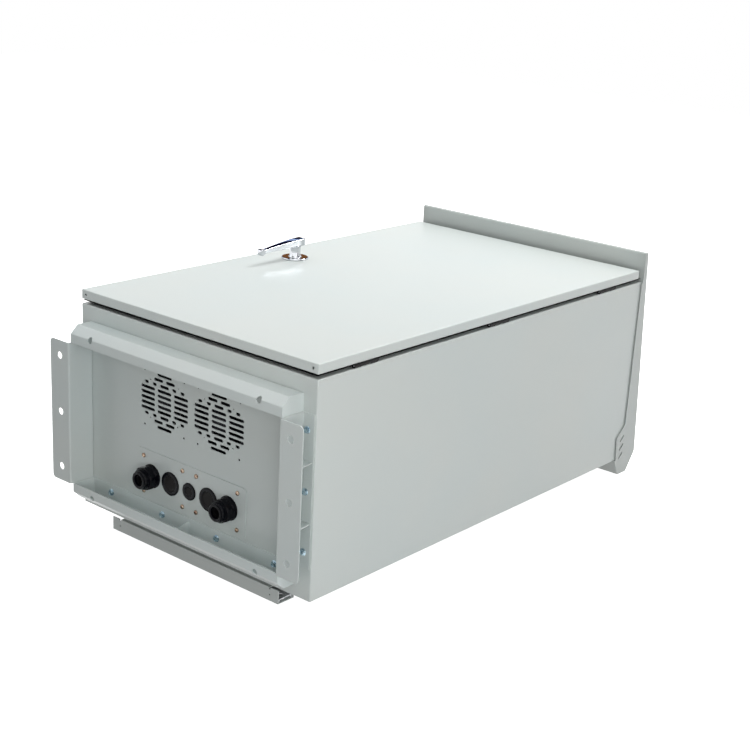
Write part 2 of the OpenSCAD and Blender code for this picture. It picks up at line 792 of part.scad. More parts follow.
module latch_housing() color(raw_steel)
  translate([spindle_x, y_door_inner, spindle_z]) difference() {
    housing_d = y_cam - layer_gap - y_door_inner;
    translate([0, housing_d, 0]) rotate([90, 0, 0]) linear_extrude(housing_d)
      rounded_rect(housing_w, housing_h, 5);
    translate([0, -cut, 0]) rotate([-90, 0, 0])
      cylinder(r = spindle_hole_r, h = housing_d + 2 * cut);
  }

// Cam seen from behind the door opening, in (x, z) about the spindle, tongue up
module cam_outline() {
  difference() {
    union() {
      circle(cam_r);
      translate([-cam_tongue_w / 2, 0]) square([cam_tongue_w, cam_reach - 3]);
      translate([-cam_tongue_w / 2 + 3, 0]) square([cam_tongue_w - 6, cam_reach]);
      for (s = [-1, 1]) translate([s * (cam_tongue_w / 2 - 3), cam_reach - 3]) circle(3);
    }
    square(spindle_w + 2 * pin_fit, center = true);
  }
}

module latch_cam() color(raw_steel) translate([spindle_x, 0, spindle_z]) {
  along_y(cam_t, y_cam) cam_outline();
  for (s = [-1, 1])
    translate([s * crank_side, y_cam + cam_t - cut / 2, -s * crank_side]) rotate([-90, 0, 0])
      cylinder(r = crank_pin_r, h = layer_gap + rod_plate_t + cut);
}

module cam_screw() color(blue_zinc) inwards(y_cam + cam_t) {
  difference() {
    cylinder(r = 4.2, h = 2.4);
    translate([0, 0, 1.2]) linear_extrude(2 * cut) hexagon(2.5);
  }
}

// Latch rod about the spindle, drawn going up from the cam
module latch_rod(length) {
  y_mid = y_rod_plate + rod_plate_t / 2;
  slot_len = crank_r - crank_side + 2 * (crank_pin_r + rod_gap);
  slot_h = 2 * (crank_pin_r + crank_lag + rod_gap);
  along_y(rod_plate_t, y_rod_plate) difference() {
    translate([rod_side - rod_plate_w / 2, -crank_side - 7]) square([rod_plate_w, 44]);
    translate([rod_side - slot_len / 2, -crank_side - slot_h / 2]) square([slot_len, slot_h]);
  }
  translate([rod_side, y_rod, 14]) cylinder(r = rod_r, h = length - 14 - 4);
  translate([rod_side, y_rod, length - 4]) cylinder(r1 = rod_r, r2 = rod_r - 2, h = 4);
}

module latch_rod_upper() color(raw_steel)
  translate([spindle_x, 0, spindle_z]) latch_rod(z_open1 - rod_clear - spindle_z);

module latch_rod_lower() color(raw_steel)
  translate([spindle_x, 0, spindle_z]) mirror([1, 0, 0]) mirror([0, 0, 1])
    latch_rod(spindle_z - z_open0 - rod_clear);

// Bent guide with two eyes, about the rod's own x
module rod_guide() {
  arm = y_rod + rod_r + 4 - y_door_inner;
  difference() {
    union() {
      translate([-guide_w / 2, y_door_inner, -guide_pitch / 2 - guide_t / 2])
        cube([guide_w, guide_t, guide_pitch + guide_t]);
      for (s = [-1, 1]) translate([-guide_w / 2, y_door_inner, s * guide_pitch / 2 - guide_t / 2])
        cube([guide_w, arm, guide_t]);
    }
    translate([0, y_rod, -guide_pitch]) cylinder(r = rod_r + rod_gap, h = 2 * guide_pitch);
  }
}

module rod_guide_upper() color(raw_steel)
  translate([spindle_x + rod_side, 0, z_open1 - guide_inset]) rod_guide();

module rod_guide_lower() color(raw_steel)
  translate([spindle_x - rod_side, 0, z_open0 + guide_inset]) rod_guide();

// Plinth

// The folded line of the front plinth bar, in (y, z)
function bar_path() = [
  [-y_bar + bar_d, bar_lift], [-y_bar + bar_foot, bar_lift],
  [-y_bar, bar_slope_z], [-y_bar, z_floor], [-y_bar + bar_d, z_floor],
];

module plinth_bar() difference() {
  union() {
    along_x(bar_len) sheet_section(bar_path(), -plinth_t);
    both_sides() translate([bar_len / 2 - cap_t, 0, 0]) rotate([90, 0, 90])
      linear_extrude(cap_t) polygon(face_line(bar_path(), 0, -plinth_t, fold_r));
    along_x(cap_t) polygon([
      [-y_bar + plinth_t / 2, bar_slope_z], [-y_bar + bar_foot, bar_lift + plinth_t / 2],
      [-y_bar + bar_d - 5, z_floor - plinth_t / 2], [-y_bar + plinth_t / 2, z_floor - plinth_t / 2],
    ]);
  }
  for (x = [-1, -1 / 3, 1 / 3, 1])
    translate([x * bar_bolt_x, -y_bar + bar_bolt_inset, z_floor - plinth_t - cut])
      cylinder(r = bolt_r + bolt_fit, h = plinth_t + 2 * cut);
  for (x = [-bar_bolt_x, bar_bolt_x])
    translate([x, -y_bar + bar_bolt_inset, 0]) cylinder(r = driver_r, h = bar_slope_z);
}

module plinth_bar_front() color(plinth_grey) plinth_bar();
module plinth_bar_rear() color(plinth_grey) mirror([0, 1, 0]) plinth_bar();

// Foot flange of the right bracket, in (x, y)
module foot_outline() {
  x0 = bracket_web_x + plinth_t + fold_r;
  difference() {
    union() {
      translate([x0, -bracket_len / 2]) square([foot_x - foot_r - x0, bracket_len]);
      translate([x0, -bracket_len / 2 + foot_r]) square([foot_x - x0, bracket_len - 2 * foot_r]);
      for (s = [-1, 1]) translate([foot_x - foot_r, s * (bracket_len / 2 - foot_r)]) circle(foot_r);
    }
    for (y = [-1, 0, 1]) translate([base_hole_x, y * base_hole_dy]) circle(base_hole_r);
  }
}

module base_bracket() {
  linear_extrude(plinth_t) foot_outline();
  difference() {
    along_y(bracket_len, -bracket_len / 2) sheet_section([
      [bracket_web_x + 3 * plinth_t + fold_r, 0], [bracket_web_x, 0],
      [bracket_web_x, z_floor], [bracket_web_x + top_flange, z_floor],
    ], -plinth_t);
    for (y = [-1, 0, 1]) translate([top_bolt_x, y * base_hole_dy, z_floor - plinth_t - cut])
      cylinder(r = bolt_r + bolt_fit, h = plinth_t + 2 * cut);
  }
  for (s = [-1, 1]) translate([0, s * gusset_y + plinth_t / 2, 0]) rotate([90, 0, 0])
    linear_extrude(plinth_t) polygon([
      [bracket_web_x + plinth_t / 2, plinth_t / 2], [bracket_web_x + top_flange + 6, plinth_t / 2],
      [bracket_web_x + top_flange - 2, z_floor - plinth_t / 2],
      [bracket_web_x + plinth_t / 2, z_floor - plinth_t / 2],
    ]);
}

module base_bracket_right() color(plinth_grey) base_bracket();
module base_bracket_left() color(plinth_grey) mirror([1, 0, 0]) base_bracket();

module base_bolts() color(blue_zinc) for (p = base_bolt_spots())
  translate([p[0], p[1], z_floor - plinth_t]) flange_bolt(plinth_t + sheet + nut_h);

module base_nuts() color(blue_zinc) for (p = base_bolt_spots())
  translate([p[0], p[1], z_floor + sheet]) hex_nut(bolt_af, nut_h, bolt_r);

// Cable entry

module gland_plate() color(shell_grey) translate([0, plate_y, z_plate_low])
  linear_extrude(plate_t) difference() {
    rounded_rect(plate_w, plate_d, plate_corner);
    for (p = plate_screw_spots()) translate([p[0], p[1] - plate_y]) circle(r = screw_r + screw_fit);
    for (s = [-1, 1]) {
      translate([s * gland_x, 0]) circle(gland_r + screw_fit);
      translate([s * grommet_x, 0]) circle(grommet_big_r - grommet_lip);
    }
    circle(grommet_small_r - grommet_lip);
  }

module gland_plate_gasket() color(black_rubber) translate([0, plate_y, z_plate])
  linear_extrude(plate_seal_t) difference() {
    rounded_rect(plate_w - 2, plate_d - 2, plate_corner - 1);
    rounded_rect(plate_cut_w, plate_cut_d, 5);
    for (p = plate_screw_spots()) translate([p[0], p[1] - plate_y]) circle(r = screw_r + screw_fit);
  }

module gland_plate_screws() color(yellow_zinc) for (p = plate_screw_spots())
  translate([p[0], p[1], z_plate_low]) rotate([180, 0, 0]) {
    rotate_extrude() polygon([[0, 0], [4.4, 0], [4.2, 1.4], [3, 2.7], [0, 3]]);
    translate([0, 0, -plate_t - plate_seal_t - sheet - 4])
      cylinder(r = screw_r, h = plate_t + plate_seal_t + sheet + 4);
  }

// Gland parts are drawn going down from the outer face of the plate
module at_gland(side) {
  translate([side * gland_x, plate_y, z_plate_low]) rotate([180, 0, 0]) children();
}

module gland_body() color(black_nylon) difference() {
  union() {
    cylinder(r = gland_af / 2 + 2, h = 2);
    linear_extrude(gland_hex_h) hexagon(gland_af);
    translate([0, 0, -plate_t - locknut_h - 4]) cylinder(r = gland_r, h = plate_t + locknut_h + 5);
    cylinder(r = gland_neck_r, h = gland_hex_h + 9);
  }
  translate([0, 0, -plate_t - locknut_h - 5])
    cylinder(r = gland_r - gland_wall, h = plate_t + locknut_h + gland_hex_h + 15);
}

module gland_dome() color(black_nylon) translate([0, 0, gland_hex_h]) difference() {
  union() {
    linear_extrude(dome_hex_h) hexagon(gland_af);
    rotate_extrude() polygon([
      [0, 0], [gland_af / 2 - 1, 0], [gland_af / 2 - 1, dome_hex_h],
      [gland_af / 2 - 1.6, dome_hex_h + 5], [gland_af / 2 - 3.2, dome_h - 3],
      [gland_af / 2 - 6, dome_h], [0, dome_h],
    ]);
  }
  translate([0, 0, -cut]) cylinder(r = gland_neck_r + 0.1, h = dome_h - dome_lip_h + cut);
  cylinder(r = cable_r + 1.5, h = dome_h + cut);
}

module gland_seal() translate([0, 0, gland_hex_h + dome_h - dome_lip_h - gland_seal_h]) difference() {
  cylinder(r = gland_r - gland_wall - 0.2, h = gland_seal_h);
  translate([0, 0, -cut]) cylinder(r = cable_r, h = gland_seal_h + 2 * cut);
}

module gland_body_left() at_gland(-1) gland_body();
module gland_body_right() at_gland(1) gland_body();
module gland_dome_left() at_gland(-1) gland_dome();
module gland_dome_right() at_gland(1) gland_dome();
module gland_seals() color(black_rubber) for (s = [-1, 1]) at_gland(s) gland_seal();
module gland_locknuts() color(black_nylon) for (s = [-1, 1])
  translate([s * gland_x, plate_y, z_plate]) hex_nut(gland_af, locknut_h, gland_r);

// Closed rubber grommet, drawn going down from the outer face of the plate
module grommet(r) color(black_rubber) rotate_extrude() polygon([
  [0, -1], [0, 1], [r - 8.5, 1], [r - 7.5, 3], [r - 1.5, 3], [r, 1.8], [r, 0],
  [r - grommet_lip - 0.1, 0], [r - grommet_lip - 0.1, -plate_t],
  [r - 2, -plate_t], [r - 3, -plate_t - 2.5], [r - 7.5, -plate_t - 2.5], [r - 7.5, -1],
]);

module at_grommet(x) {
  translate([x, plate_y, z_plate_low]) rotate([180, 0, 0]) children();
}

module grommet_left() at_grommet(-grommet_x) grommet(grommet_big_r);
module grommet_centre() at_grommet(0) grommet(grommet_small_r);
module grommet_right() at_grommet(grommet_x) grommet(grommet_big_r);

// Fans

module at_fan(side) {
  translate([side * fan_x, -fan_y, z_fan]) children();
}

module fan_flange(z) {
  translate([0, 0, z]) linear_extrude(fan_flange_t) difference() {
    rounded_rect(fan_w, fan_w, 6);
    circle(fan_bore_r);
    for (x = [-1, 1], y = [-1, 1]) translate([x, y] * fan_pitch / 2) circle(fan_hole_r);
  }
}

module fan_frame() color(black_nylon) {
  fan_flange(0);
  fan_flange(fan_h - fan_flange_t);
  linear_extrude(fan_h) difference() {
    circle(fan_bore_r + fan_wall - 0.5);
    circle(fan_bore_r);
  }
  translate([0, 0, fan_h - fan_base_t]) difference() {
    union() {
      cylinder(r = fan_hub_r, h = fan_base_t);
      for (a = [45 : 90 : 315]) rotate(a) translate([fan_hub_r - 2, -2, 0])
        cube([fan_bore_r - fan_hub_r + 3, 4, fan_base_t - 1]);
      translate([0, 0, -10]) cylinder(r = fan_boss_r, h = 11);
    }
    translate([0, 0, -10 - cut]) cylinder(r = fan_shaft_r + pin_fit, h = 12);
  }
}

module fan_rotor() color(black_nylon) {
  rotor_h = fan_h - fan_base_t - 2 * fan_run_gap;
  translate([0, 0, fan_run_gap]) {
    difference() {
      cylinder(r = fan_hub_r, h = rotor_h);
      translate([0, 0, 1.5]) cylinder(r = fan_hub_r - 1.5, h = rotor_h);
    }
    cylinder(r = fan_shaft_r, h = rotor_h);
    intersection() {
      difference() {
        cylinder(r = fan_bore_r - fan_tip_gap, h = rotor_h - 1);
        translate([0, 0, -cut]) cylinder(r = fan_hub_r - 0.7, h = rotor_h + 2 * cut);
      }
      for (i = [0 : blade_count - 1]) rotate(i * 360 / blade_count)
        translate([fan_bore_r / 2 + 4, 0, rotor_h / 2]) rotate([38, 0, 0])
        cube([fan_bore_r, 34, 1.6], center = true);
    }
  }
}

module fan_frame_left() at_fan(-1) fan_frame();
module fan_frame_right() at_fan(1) fan_frame();
module fan_rotor_left() at_fan(-1) fan_rotor();
module fan_rotor_right() at_fan(1) fan_rotor();

module fan_screws() color(black_nylon) for (p = fan_screw_spots())
  translate([p[0], p[1], z_floor]) {
    cylinder(r = fan_screw_r, h = sheet + fan_h);
    translate([0, 0, sheet + fan_h]) cylinder(r = 3.6, h = 2.4);
  }

// Rack rails

module rack_holes() {
  for (u = [0 : rack_units - 1], s = hole_steps)
    translate([rack_x1 - rack_edge, z_rack + rack_end + u * unit + s]) square(rack_hole, center = true);
}

// Right rail with its face at y and its side flange running towards turn
module rack_rail(y, turn) {
  difference() {
    translate([0, 0, z_rack]) linear_extrude(rack_h)
      sheet_section([[rack_x0, y], [rack_x1, y], [rack_x1, y + turn * rack_flange]], turn * rack_t);
    along_y(rack_t + 2 * cut, y + (turn > 0 ? 0 : -rack_t) - cut) rack_holes();
    for (z = depth_bar_zs) translate([rack_x1 + cut, y + turn * rack_flange / 2, z])
      rotate([0, -90, 0]) cylinder(r = bolt_r + bolt_fit, h = rack_t + 2 * cut);
  }
}

module rack_rail_front_right() color(raw_steel) rack_rail(y_rack_front, 1);
module rack_rail_front_left() color(raw_steel) mirror([1, 0, 0]) rack_rail(y_rack_front, 1);
module rack_rail_rear_right() color(raw_steel) rack_rail(y_rack_rear, -1);
module rack_rail_rear_left() color(raw_steel) mirror([1, 0, 0]) rack_rail(y_rack_rear, -1);

function rack_bolt_ys() = [y_rack_front + rack_flange / 2, y_rack_rear - rack_flange / 2];

module depth_bars() difference() {
  for (z = depth_bar_zs) along_y(depth_bar_len, -depth_bar_len / 2) sheet_section([
    [x_wall, z - depth_bar_h / 2], [rack_x1, z - depth_bar_h / 2],
    [rack_x1, z + depth_bar_h / 2], [x_wall, z + depth_bar_h / 2],
  ], -depth_bar_t);
  for (z = depth_bar_zs, y = rack_bolt_ys()) translate([rack_x1 - cut, y, z]) rotate([0, 90, 0])
    cylinder(r = bolt_r + bolt_fit, h = depth_bar_t + 2 * cut);
}

module depth_bars_right() color(raw_steel) depth_bars();
module depth_bars_left() color(raw_steel) mirror([1, 0, 0]) depth_bars();

module rack_bolts() color(blue_zinc) both_sides() for (z = depth_bar_zs, y = rack_bolt_ys())
  translate([rack_x1 - rack_t, y, z]) rotate([0, 90, 0])
    flange_bolt(rack_t + depth_bar_t + nut_h);

module rack_nuts() color(blue_zinc) both_sides() for (z = depth_bar_zs, y = rack_bolt_ys())
  translate([rack_x1 + depth_bar_t, y, z]) rotate([0, 90, 0]) hex_nut(bolt_af, nut_h, bolt_r);

// Wall rails

// Box rail open at both ends, its front web cut back at the ears
module wall_rail(z) difference() {
  translate([0, 0, z]) along_x(wall_rail_len) difference() {
    translate([y_rail, 0]) square([wall_rail_d, wall_rail_h]);
    translate([y_rail + rail_t, rail_t]) square([wall_rail_d - 2 * rail_t, wall_rail_h - 2 * rail_t]);
  }
  both_sides() {
    translate([wall_rail_len / 2 - rail_ear, y_rail - cut, z + rail_t])
      cube([rail_ear + cut, rail_t + 2 * cut, wall_rail_h - 2 * rail_t]);
    translate([wall_rail_len / 2 - rail_ear - rail_notch, y_rail - cut, z - cut])
      cube([rail_notch, rail_t + 2 + cut, wall_rail_h + 2 * cut]);
    translate([wall_rail_len / 2 - rail_ear - rail_notch / 2, y_rail + 14, z - cut])
      cylinder(r = 1.8, h = rail_t + 2 * cut);
  }
  for (x = rail_bolt_xs) translate([x, y_rail + rail_t + cut, z + wall_rail_h / 2])
    rotate([90, 0, 0]) cylinder(r = rail_bolt_r + bolt_fit, h = rail_t + 2 * cut);
  for (s = [-1, 1]) {
    translate([s * wall_hole_x, y_rail_back + cut, z + wall_rail_h / 2]) rotate([90, 0, 0])
      cylinder(r = wall_hole_r, h = rail_t + 2 * cut);
  }
}

module wall_rail_lower() color(plinth_grey) wall_rail(z_rail_low);
module wall_rail_upper() color(plinth_grey) wall_rail(z_rail_up);

// Channel nested in a wall rail, its legs against the rear web
module rail_stiffener(z) {
  y_leg = y_rail_back - rail_t;
  z_mid = z + wall_rail_h / 2;
  difference() {
    along_x(wall_rail_len - 4) sheet_section([
      [y_leg, z_mid - stiff_rail_h / 2], [y_leg - stiff_rail_d, z_mid - stiff_rail_h / 2],
      [y_leg - stiff_rail_d, z_mid + stiff_rail_h / 2], [y_leg, z_mid + stiff_rail_h / 2],
    ], -rail_t);
    for (s = [-1, 1]) translate([s * wall_hole_x, y_leg, z_mid]) rotate([90, 0, 0])
      cylinder(r = wall_hole_r + 1, h = stiff_rail_d + cut);
  }
}

module rail_stiffener_lower() color(raw_steel) rail_stiffener(z_rail_low);
module rail_stiffener_upper() color(raw_steel) rail_stiffener(z_rail_up);

module rail_spacers() color(black_rubber) for (z = rail_zs, x = rail_bolt_xs)
  translate([x, y_rail, z + wall_rail_h / 2]) rotate([90, 0, 0]) difference() {
    cylinder(r = spacer_r, h = spacer_t);
    translate([0, 0, -cut]) cylinder(r = rail_bolt_r + bolt_fit, h = spacer_t + 2 * cut);
  }

module rail_bolts() color(blue_zinc) for (z = rail_zs, x = rail_bolt_xs)
  translate([x, y_back - sheet, z + wall_rail_h / 2]) rotate([-90, 0, 0]) {
    translate([0, 0, -5.3]) linear_extrude(5.3) hexagon(rail_nut_af);
    cylinder(r = rail_bolt_r, h = sheet + spacer_t + rail_t + rail_nut_h);
  }

module rail_nuts() color(blue_zinc) for (z = rail_zs, x = rail_bolt_xs)
  translate([x, y_rail + rail_t, z + wall_rail_h / 2]) rotate([-90, 0, 0])
    hex_nut(rail_nut_af, rail_nut_h, rail_bolt_r);

enclosure();
roof_hood();
hood_bolts();
hood_nuts();
door_panel();
door_gasket();
door_stiffener_left();
door_stiffener_right();
hinge_body_knuckles();
hinge_door_knuckles();
hinge_pins();
handle_rose();
handle_lever();
latch_housing();
latch_cam();
cam_screw();
latch_rod_upper();
latch_rod_lower();
rod_guide_upper();
rod_guide_lower();
plinth_bar_front();
plinth_bar_rear();
base_bracket_left();
base_bracket_right();
base_bolts();
base_nuts();
gland_plate();
gland_plate_gasket();
gland_plate_screws();
gland_body_left();
gland_body_right();
gland_dome_left();
gland_dome_right();
gland_seals();
gland_locknuts();
grommet_left();
grommet_centre();
grommet_right();
fan_frame_left();
fan_frame_right();
fan_rotor_left();
fan_rotor_right();
fan_screws();
rack_rail_front_left();
rack_rail_front_right();
rack_rail_rear_left();
rack_rail_rear_right();
depth_bars_left();
depth_bars_right();
rack_bolts();
rack_nuts();
wall_rail_lower();
wall_rail_upper();
rail_stiffener_lower();
rail_stiffener_upper();
rail_spacers();
rail_bolts();
rail_nuts();
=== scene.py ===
"""Looks of an outdoor wall-mount rack cabinet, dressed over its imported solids.

The cabinet stands on its plinth with +Z up and its door facing -Y. The main view looks at its
underside, as when it lies on its back. Lengths are in metres.
"""

from __future__ import annotations

import json
import logging
import math
from dataclasses import dataclass
from enum import Enum
from typing import Callable, Iterable, Sequence, Union

import bpy
from mathutils import Matrix, Quaternion, Vector

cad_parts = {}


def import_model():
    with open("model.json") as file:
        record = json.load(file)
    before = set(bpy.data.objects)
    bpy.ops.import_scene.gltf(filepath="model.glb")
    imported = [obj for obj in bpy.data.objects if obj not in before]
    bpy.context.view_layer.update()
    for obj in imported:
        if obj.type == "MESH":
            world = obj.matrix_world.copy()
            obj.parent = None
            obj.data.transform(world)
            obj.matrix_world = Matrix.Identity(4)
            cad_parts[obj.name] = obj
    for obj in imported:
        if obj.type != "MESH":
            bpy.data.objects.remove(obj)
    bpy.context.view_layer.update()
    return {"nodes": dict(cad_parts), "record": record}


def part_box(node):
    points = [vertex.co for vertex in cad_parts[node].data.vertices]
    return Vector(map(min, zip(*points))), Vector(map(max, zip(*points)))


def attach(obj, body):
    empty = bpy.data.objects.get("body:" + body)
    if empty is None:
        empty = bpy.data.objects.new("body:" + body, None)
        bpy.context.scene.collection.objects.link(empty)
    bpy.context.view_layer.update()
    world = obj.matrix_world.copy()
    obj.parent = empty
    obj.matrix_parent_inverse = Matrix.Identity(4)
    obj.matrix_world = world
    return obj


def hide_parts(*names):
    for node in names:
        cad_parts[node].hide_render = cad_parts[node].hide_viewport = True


LOG = logging.getLogger("cabinet")

Number = Union[int, float]
Colour = tuple[float, float, float]
Point = tuple[float, float, float]
MM = 0.001


class Body(str, Enum):
    """The rigid bodies that pieces ride on."""

    CABINET = "cabinet"
    DOOR = "door"
    HANDLE = "handle"
    ROD_UPPER = "rod_upper"
    ROD_LOWER = "rod_lower"
    ROTOR_LEFT = "rotor_left"
    ROTOR_RIGHT = "rotor_right"


class Slot(str, Enum):
    """The record's material slots."""

    SHELL = "shell_paint"
    PLINTH = "plinth_paint"
    RUBBER = "black_rubber"
    NYLON = "black_nylon"
    HINGE = "hinge_black"
    CHROME = "chrome"
    BLUE_ZINC = "blue_zinc"
    YELLOW_ZINC = "yellow_zinc"
    ZINC_SHEET = "zinc_sheet"


# Shader maths


def math_operator(operation: str, reflected: bool = False) -> Callable[["Sock", "Value"], "Sock"]:
    """Return an operator method that adds one Math node.

    Args:
        operation: The Math node's operation.
        reflected: Whether the other value comes first.

    Returns:
        The method.
    """

    def method(sock: "Sock", other: "Value") -> "Sock":
        """Return the result of the two values."""
        return sock.maths(operation, *((other, sock) if reflected else (sock, other)))

    return method


class Sock:
    """One output socket, with Python's operators standing for Math nodes."""

    def __init__(self, graph: "Graph", socket: bpy.types.NodeSocket) -> None:
        """Wrap a socket.

        Args:
            graph: The graph that adds the nodes.
            socket: The output that the expression reads.
        """
        self.graph = graph
        self.socket = socket

    def maths(self, operation: str, *values: "Value", clamp: bool = False) -> "Sock":
        """Add one Math node.

        Args:
            operation: The Math node's operation.
            *values: Its inputs in order.
            clamp: Whether the result is held between 0 and 1.

        Returns:
            The node's result.
        """
        settings = {"operation": operation, "use_clamp": clamp}
        return self.graph.node("ShaderNodeMath", settings, dict(enumerate(values)))

    __add__, __radd__ = math_operator("ADD"), math_operator("ADD", True)
    __sub__, __rsub__ = math_operator("SUBTRACT"), math_operator("SUBTRACT", True)
    __mul__, __rmul__ = math_operator("MULTIPLY"), math_operator("MULTIPLY", True)
    __truediv__, __rtruediv__ = math_operator("DIVIDE"), math_operator("DIVIDE", True)

    def clamped(self) -> "Sock":
        """Return the value held between 0 and 1."""
        return self.maths("ADD", self, 0.0, clamp=True)

    def ramp(self, low: float, high: float) -> "Sock":
        """Return 0 below low and 1 above high, with a straight run between them."""
        return ((self - low) / (high - low)).clamped()


Value = Union[Sock, Number, Sequence[float]]


class Graph:
    """Builds the node tree of one material or world."""

    def __init__(self, tree: bpy.types.NodeTree) -> None:
        """Empty a node tree and take it over.

        Args:
            tree: The node tree to fill.
        """
        self.tree = tree
        tree.nodes.clear()

    def node(
        self, kind: str, settings: dict | None = None, inputs: dict | None = None, out: str | int = 0
    ) -> Sock:
        """Add any node.

        Args:
            kind: The node's type name.
            settings: Its own settings, such as an operation.
            inputs: Values or sockets by input name or index.
            out: The output to return.

        Returns:
            The chosen output.
        """
        made = self.tree.nodes.new(kind)
        for key, value in (settings or {}).items():
            setattr(made, key, value)
        for key, value in (inputs or {}).items():
            if isinstance(value, Sock):
                self.tree.links.new(value.socket, made.inputs[key])
            else:
                made.inputs[key].default_value = value
        return Sock(self, made.outputs[out]) if made.outputs else Sock(self, None)

    def place(self, scale: Point = (1.0, 1.0, 1.0)) -> Sock:
        """Return Object coordinates, stretched.

        Args:
            scale: Stretch along each axis.

        Returns:
            The coordinates as a vector.
        """
        raw = self.node("ShaderNodeTexCoord", out="Object")
        return self.node("ShaderNodeMapping", inputs={"Vector": raw, "Scale": scale})

    def noise(self, scale: float, detail: float = 2.0, rough: float = 0.5,
              where: Sock | None = None) -> Sock:
        """Return a noise value about 0.5.

        Args:
            scale: Waves per metre.
            detail: Octaves.
            rough: How much the finer octaves add.
            where: Coordinates, or None for plain Object coordinates.

        Returns:
            The noise value.
        """
        inputs = {"Vector": where or self.place(), "Scale": scale, "Detail": detail,
                  "Roughness": rough}
        return self.node("ShaderNodeTexNoise", inputs=inputs)

    def cells(self, scale: float) -> Sock:
        """Return the colours of a cell pattern.

        Args:
            scale: Cells per metre.

        Returns:
            One random colour a cell.
        """
        inputs = {"Vector": self.place(), "Scale": scale}
        return self.node("ShaderNodeTexVoronoi", inputs=inputs, out="Color")

    def mix(self, share: Value, low: Value, high: Value) -> Sock:
        """Return a colour between two colours.

        Args:
            share: 0 for low, 1 for high.
            low: The first colour.
            high: The second colour.

        Returns:
            The mixed colour.
        """
        made = self.tree.nodes.new("ShaderNodeMix")
        made.data_type = "RGBA"
        for index, value in ((0, share), (6, low), (7, high)):
            if isinstance(value, Sock):
                self.tree.links.new(value.socket, made.inputs[index])
            else:
                made.inputs[index].default_value = (
                    value if isinstance(value, (int, float)) else (*value, 1.0)[:4]
                )
        return Sock(self, made.outputs[2])

    def bump(self, height: Value, distance: float, strength: float = 1.0) -> Sock:
        """Return a normal raised by a height.

        Args:
            height: The height, in units of the distance.
            distance: Metres for a height of 1.
            strength: Share of the effect.

        Returns:
            The normal.
        """
        inputs = {"Height": height, "Distance": distance, "Strength": strength}
        return self.node("ShaderNodeBump", inputs=inputs)

    def surface(self, **inputs: Value) -> None:
        """Finish a material with the Principled shader.

        Args:
            **inputs: Socket names, with spaces as underscores, to values or sockets.
        """
        named = {key.replace("_", " "): value for key, value in inputs.items()}
        if "Base Color" in named and not isinstance(named["Base Color"], Sock):
            named["Base Color"] = (*named["Base Color"], 1.0)
        shader = self.node("ShaderNodeBsdfPrincipled", inputs=named)
        self.node("ShaderNodeOutputMaterial", inputs={"Surface": shader})


# Finishes


@dataclass(frozen=True)
class Finish:
    """A surface finish that makes its own material."""

    name: str
    slot: Slot

    def build(self, graph: Graph) -> None:
        """Fill the node tree.

        Args:
            graph: The material's graph.
        """
        raise NotImplementedError

    def material(self) -> bpy.types.Material:
        """Return the finish's material, made once."""
        found = bpy.data.materials.get(self.name)
        if found is None:
            found = bpy.data.materials.new(self.name)
            found.use_nodes = True
            self.build(Graph(found.node_tree))
        return found


@dataclass(frozen=True)
class PowderCoat(Finish):
    """Baked powder coat: even colour, fine orange peel, a soft gloss."""

    colour: Colour = (0.607, 0.655, 0.643)
    roughness: float = 0.30
    peel: float = 0.035 * MM

    def build(self, graph: Graph) -> None:
        """Fill the node tree.

        Args:
            graph: The material's graph.
        """
        cloud = graph.noise(3.2, 3.0, 0.55)
        grain = graph.noise(900.0, 1.0, 0.5)
        peel = graph.noise(420.0, 2.0, 0.45)
        warm = tuple(c * k for c, k in zip(self.colour, (1.015, 1.0, 0.985)))
        cool = tuple(c * k for c, k in zip(self.colour, (0.965, 0.985, 0.99)))
        colour = graph.mix(cloud.ramp(0.3, 0.7), cool, warm)
        dusty = graph.mix(grain.ramp(0.62, 0.8) * 0.25, colour, tuple(c * 0.9 for c in self.colour))
        graph.surface(
            Base_Color=dusty,
            Roughness=cloud * 0.08 + (self.roughness - 0.04) + grain * 0.03,
            Normal=graph.bump(peel, self.peel * 6, 0.35),
        )


@dataclass(frozen=True)
class Chrome(Finish):
    """Polished chrome with faint polishing marks."""

    def build(self, graph: Graph) -> None:
        """Fill the node tree.

        Args:
            graph: The material's graph.
        """
        haze = graph.noise(60.0, 3.0, 0.6)
        marks = graph.noise(900.0, 2.0, 0.5, graph.place((1.0, 1.0, 0.05)))
        graph.surface(
            Base_Color=graph.mix(haze, (0.50, 0.52, 0.55), (0.60, 0.61, 0.63)),
            Metallic=1.0,
            Roughness=0.0,
            Normal=graph.bump(haze + marks * 0.1, 0.015 * MM, 0.2),
        )


@dataclass(frozen=True)
class Zinc(Finish):
    """Zinc plating with a passivated tint that drifts over the surface."""

    pale: Colour = (0.66, 0.80, 0.88)
    deep: Colour = (0.16, 0.27, 0.36)
    roughness: float = 0.07

    def build(self, graph: Graph) -> None:
        """Fill the node tree.

        Args:
            graph: The material's graph.
        """
        drift = graph.noise(190.0, 3.0, 0.6)
        pits = graph.noise(1600.0, 2.0, 0.5)
        graph.surface(
            Base_Color=graph.mix(drift.ramp(0.32, 0.68), self.deep, self.pale),
            Metallic=1.0,
            Roughness=pits * 0.12 + self.roughness,
            Normal=graph.bump(pits, 0.03 * MM, 0.4),
        )


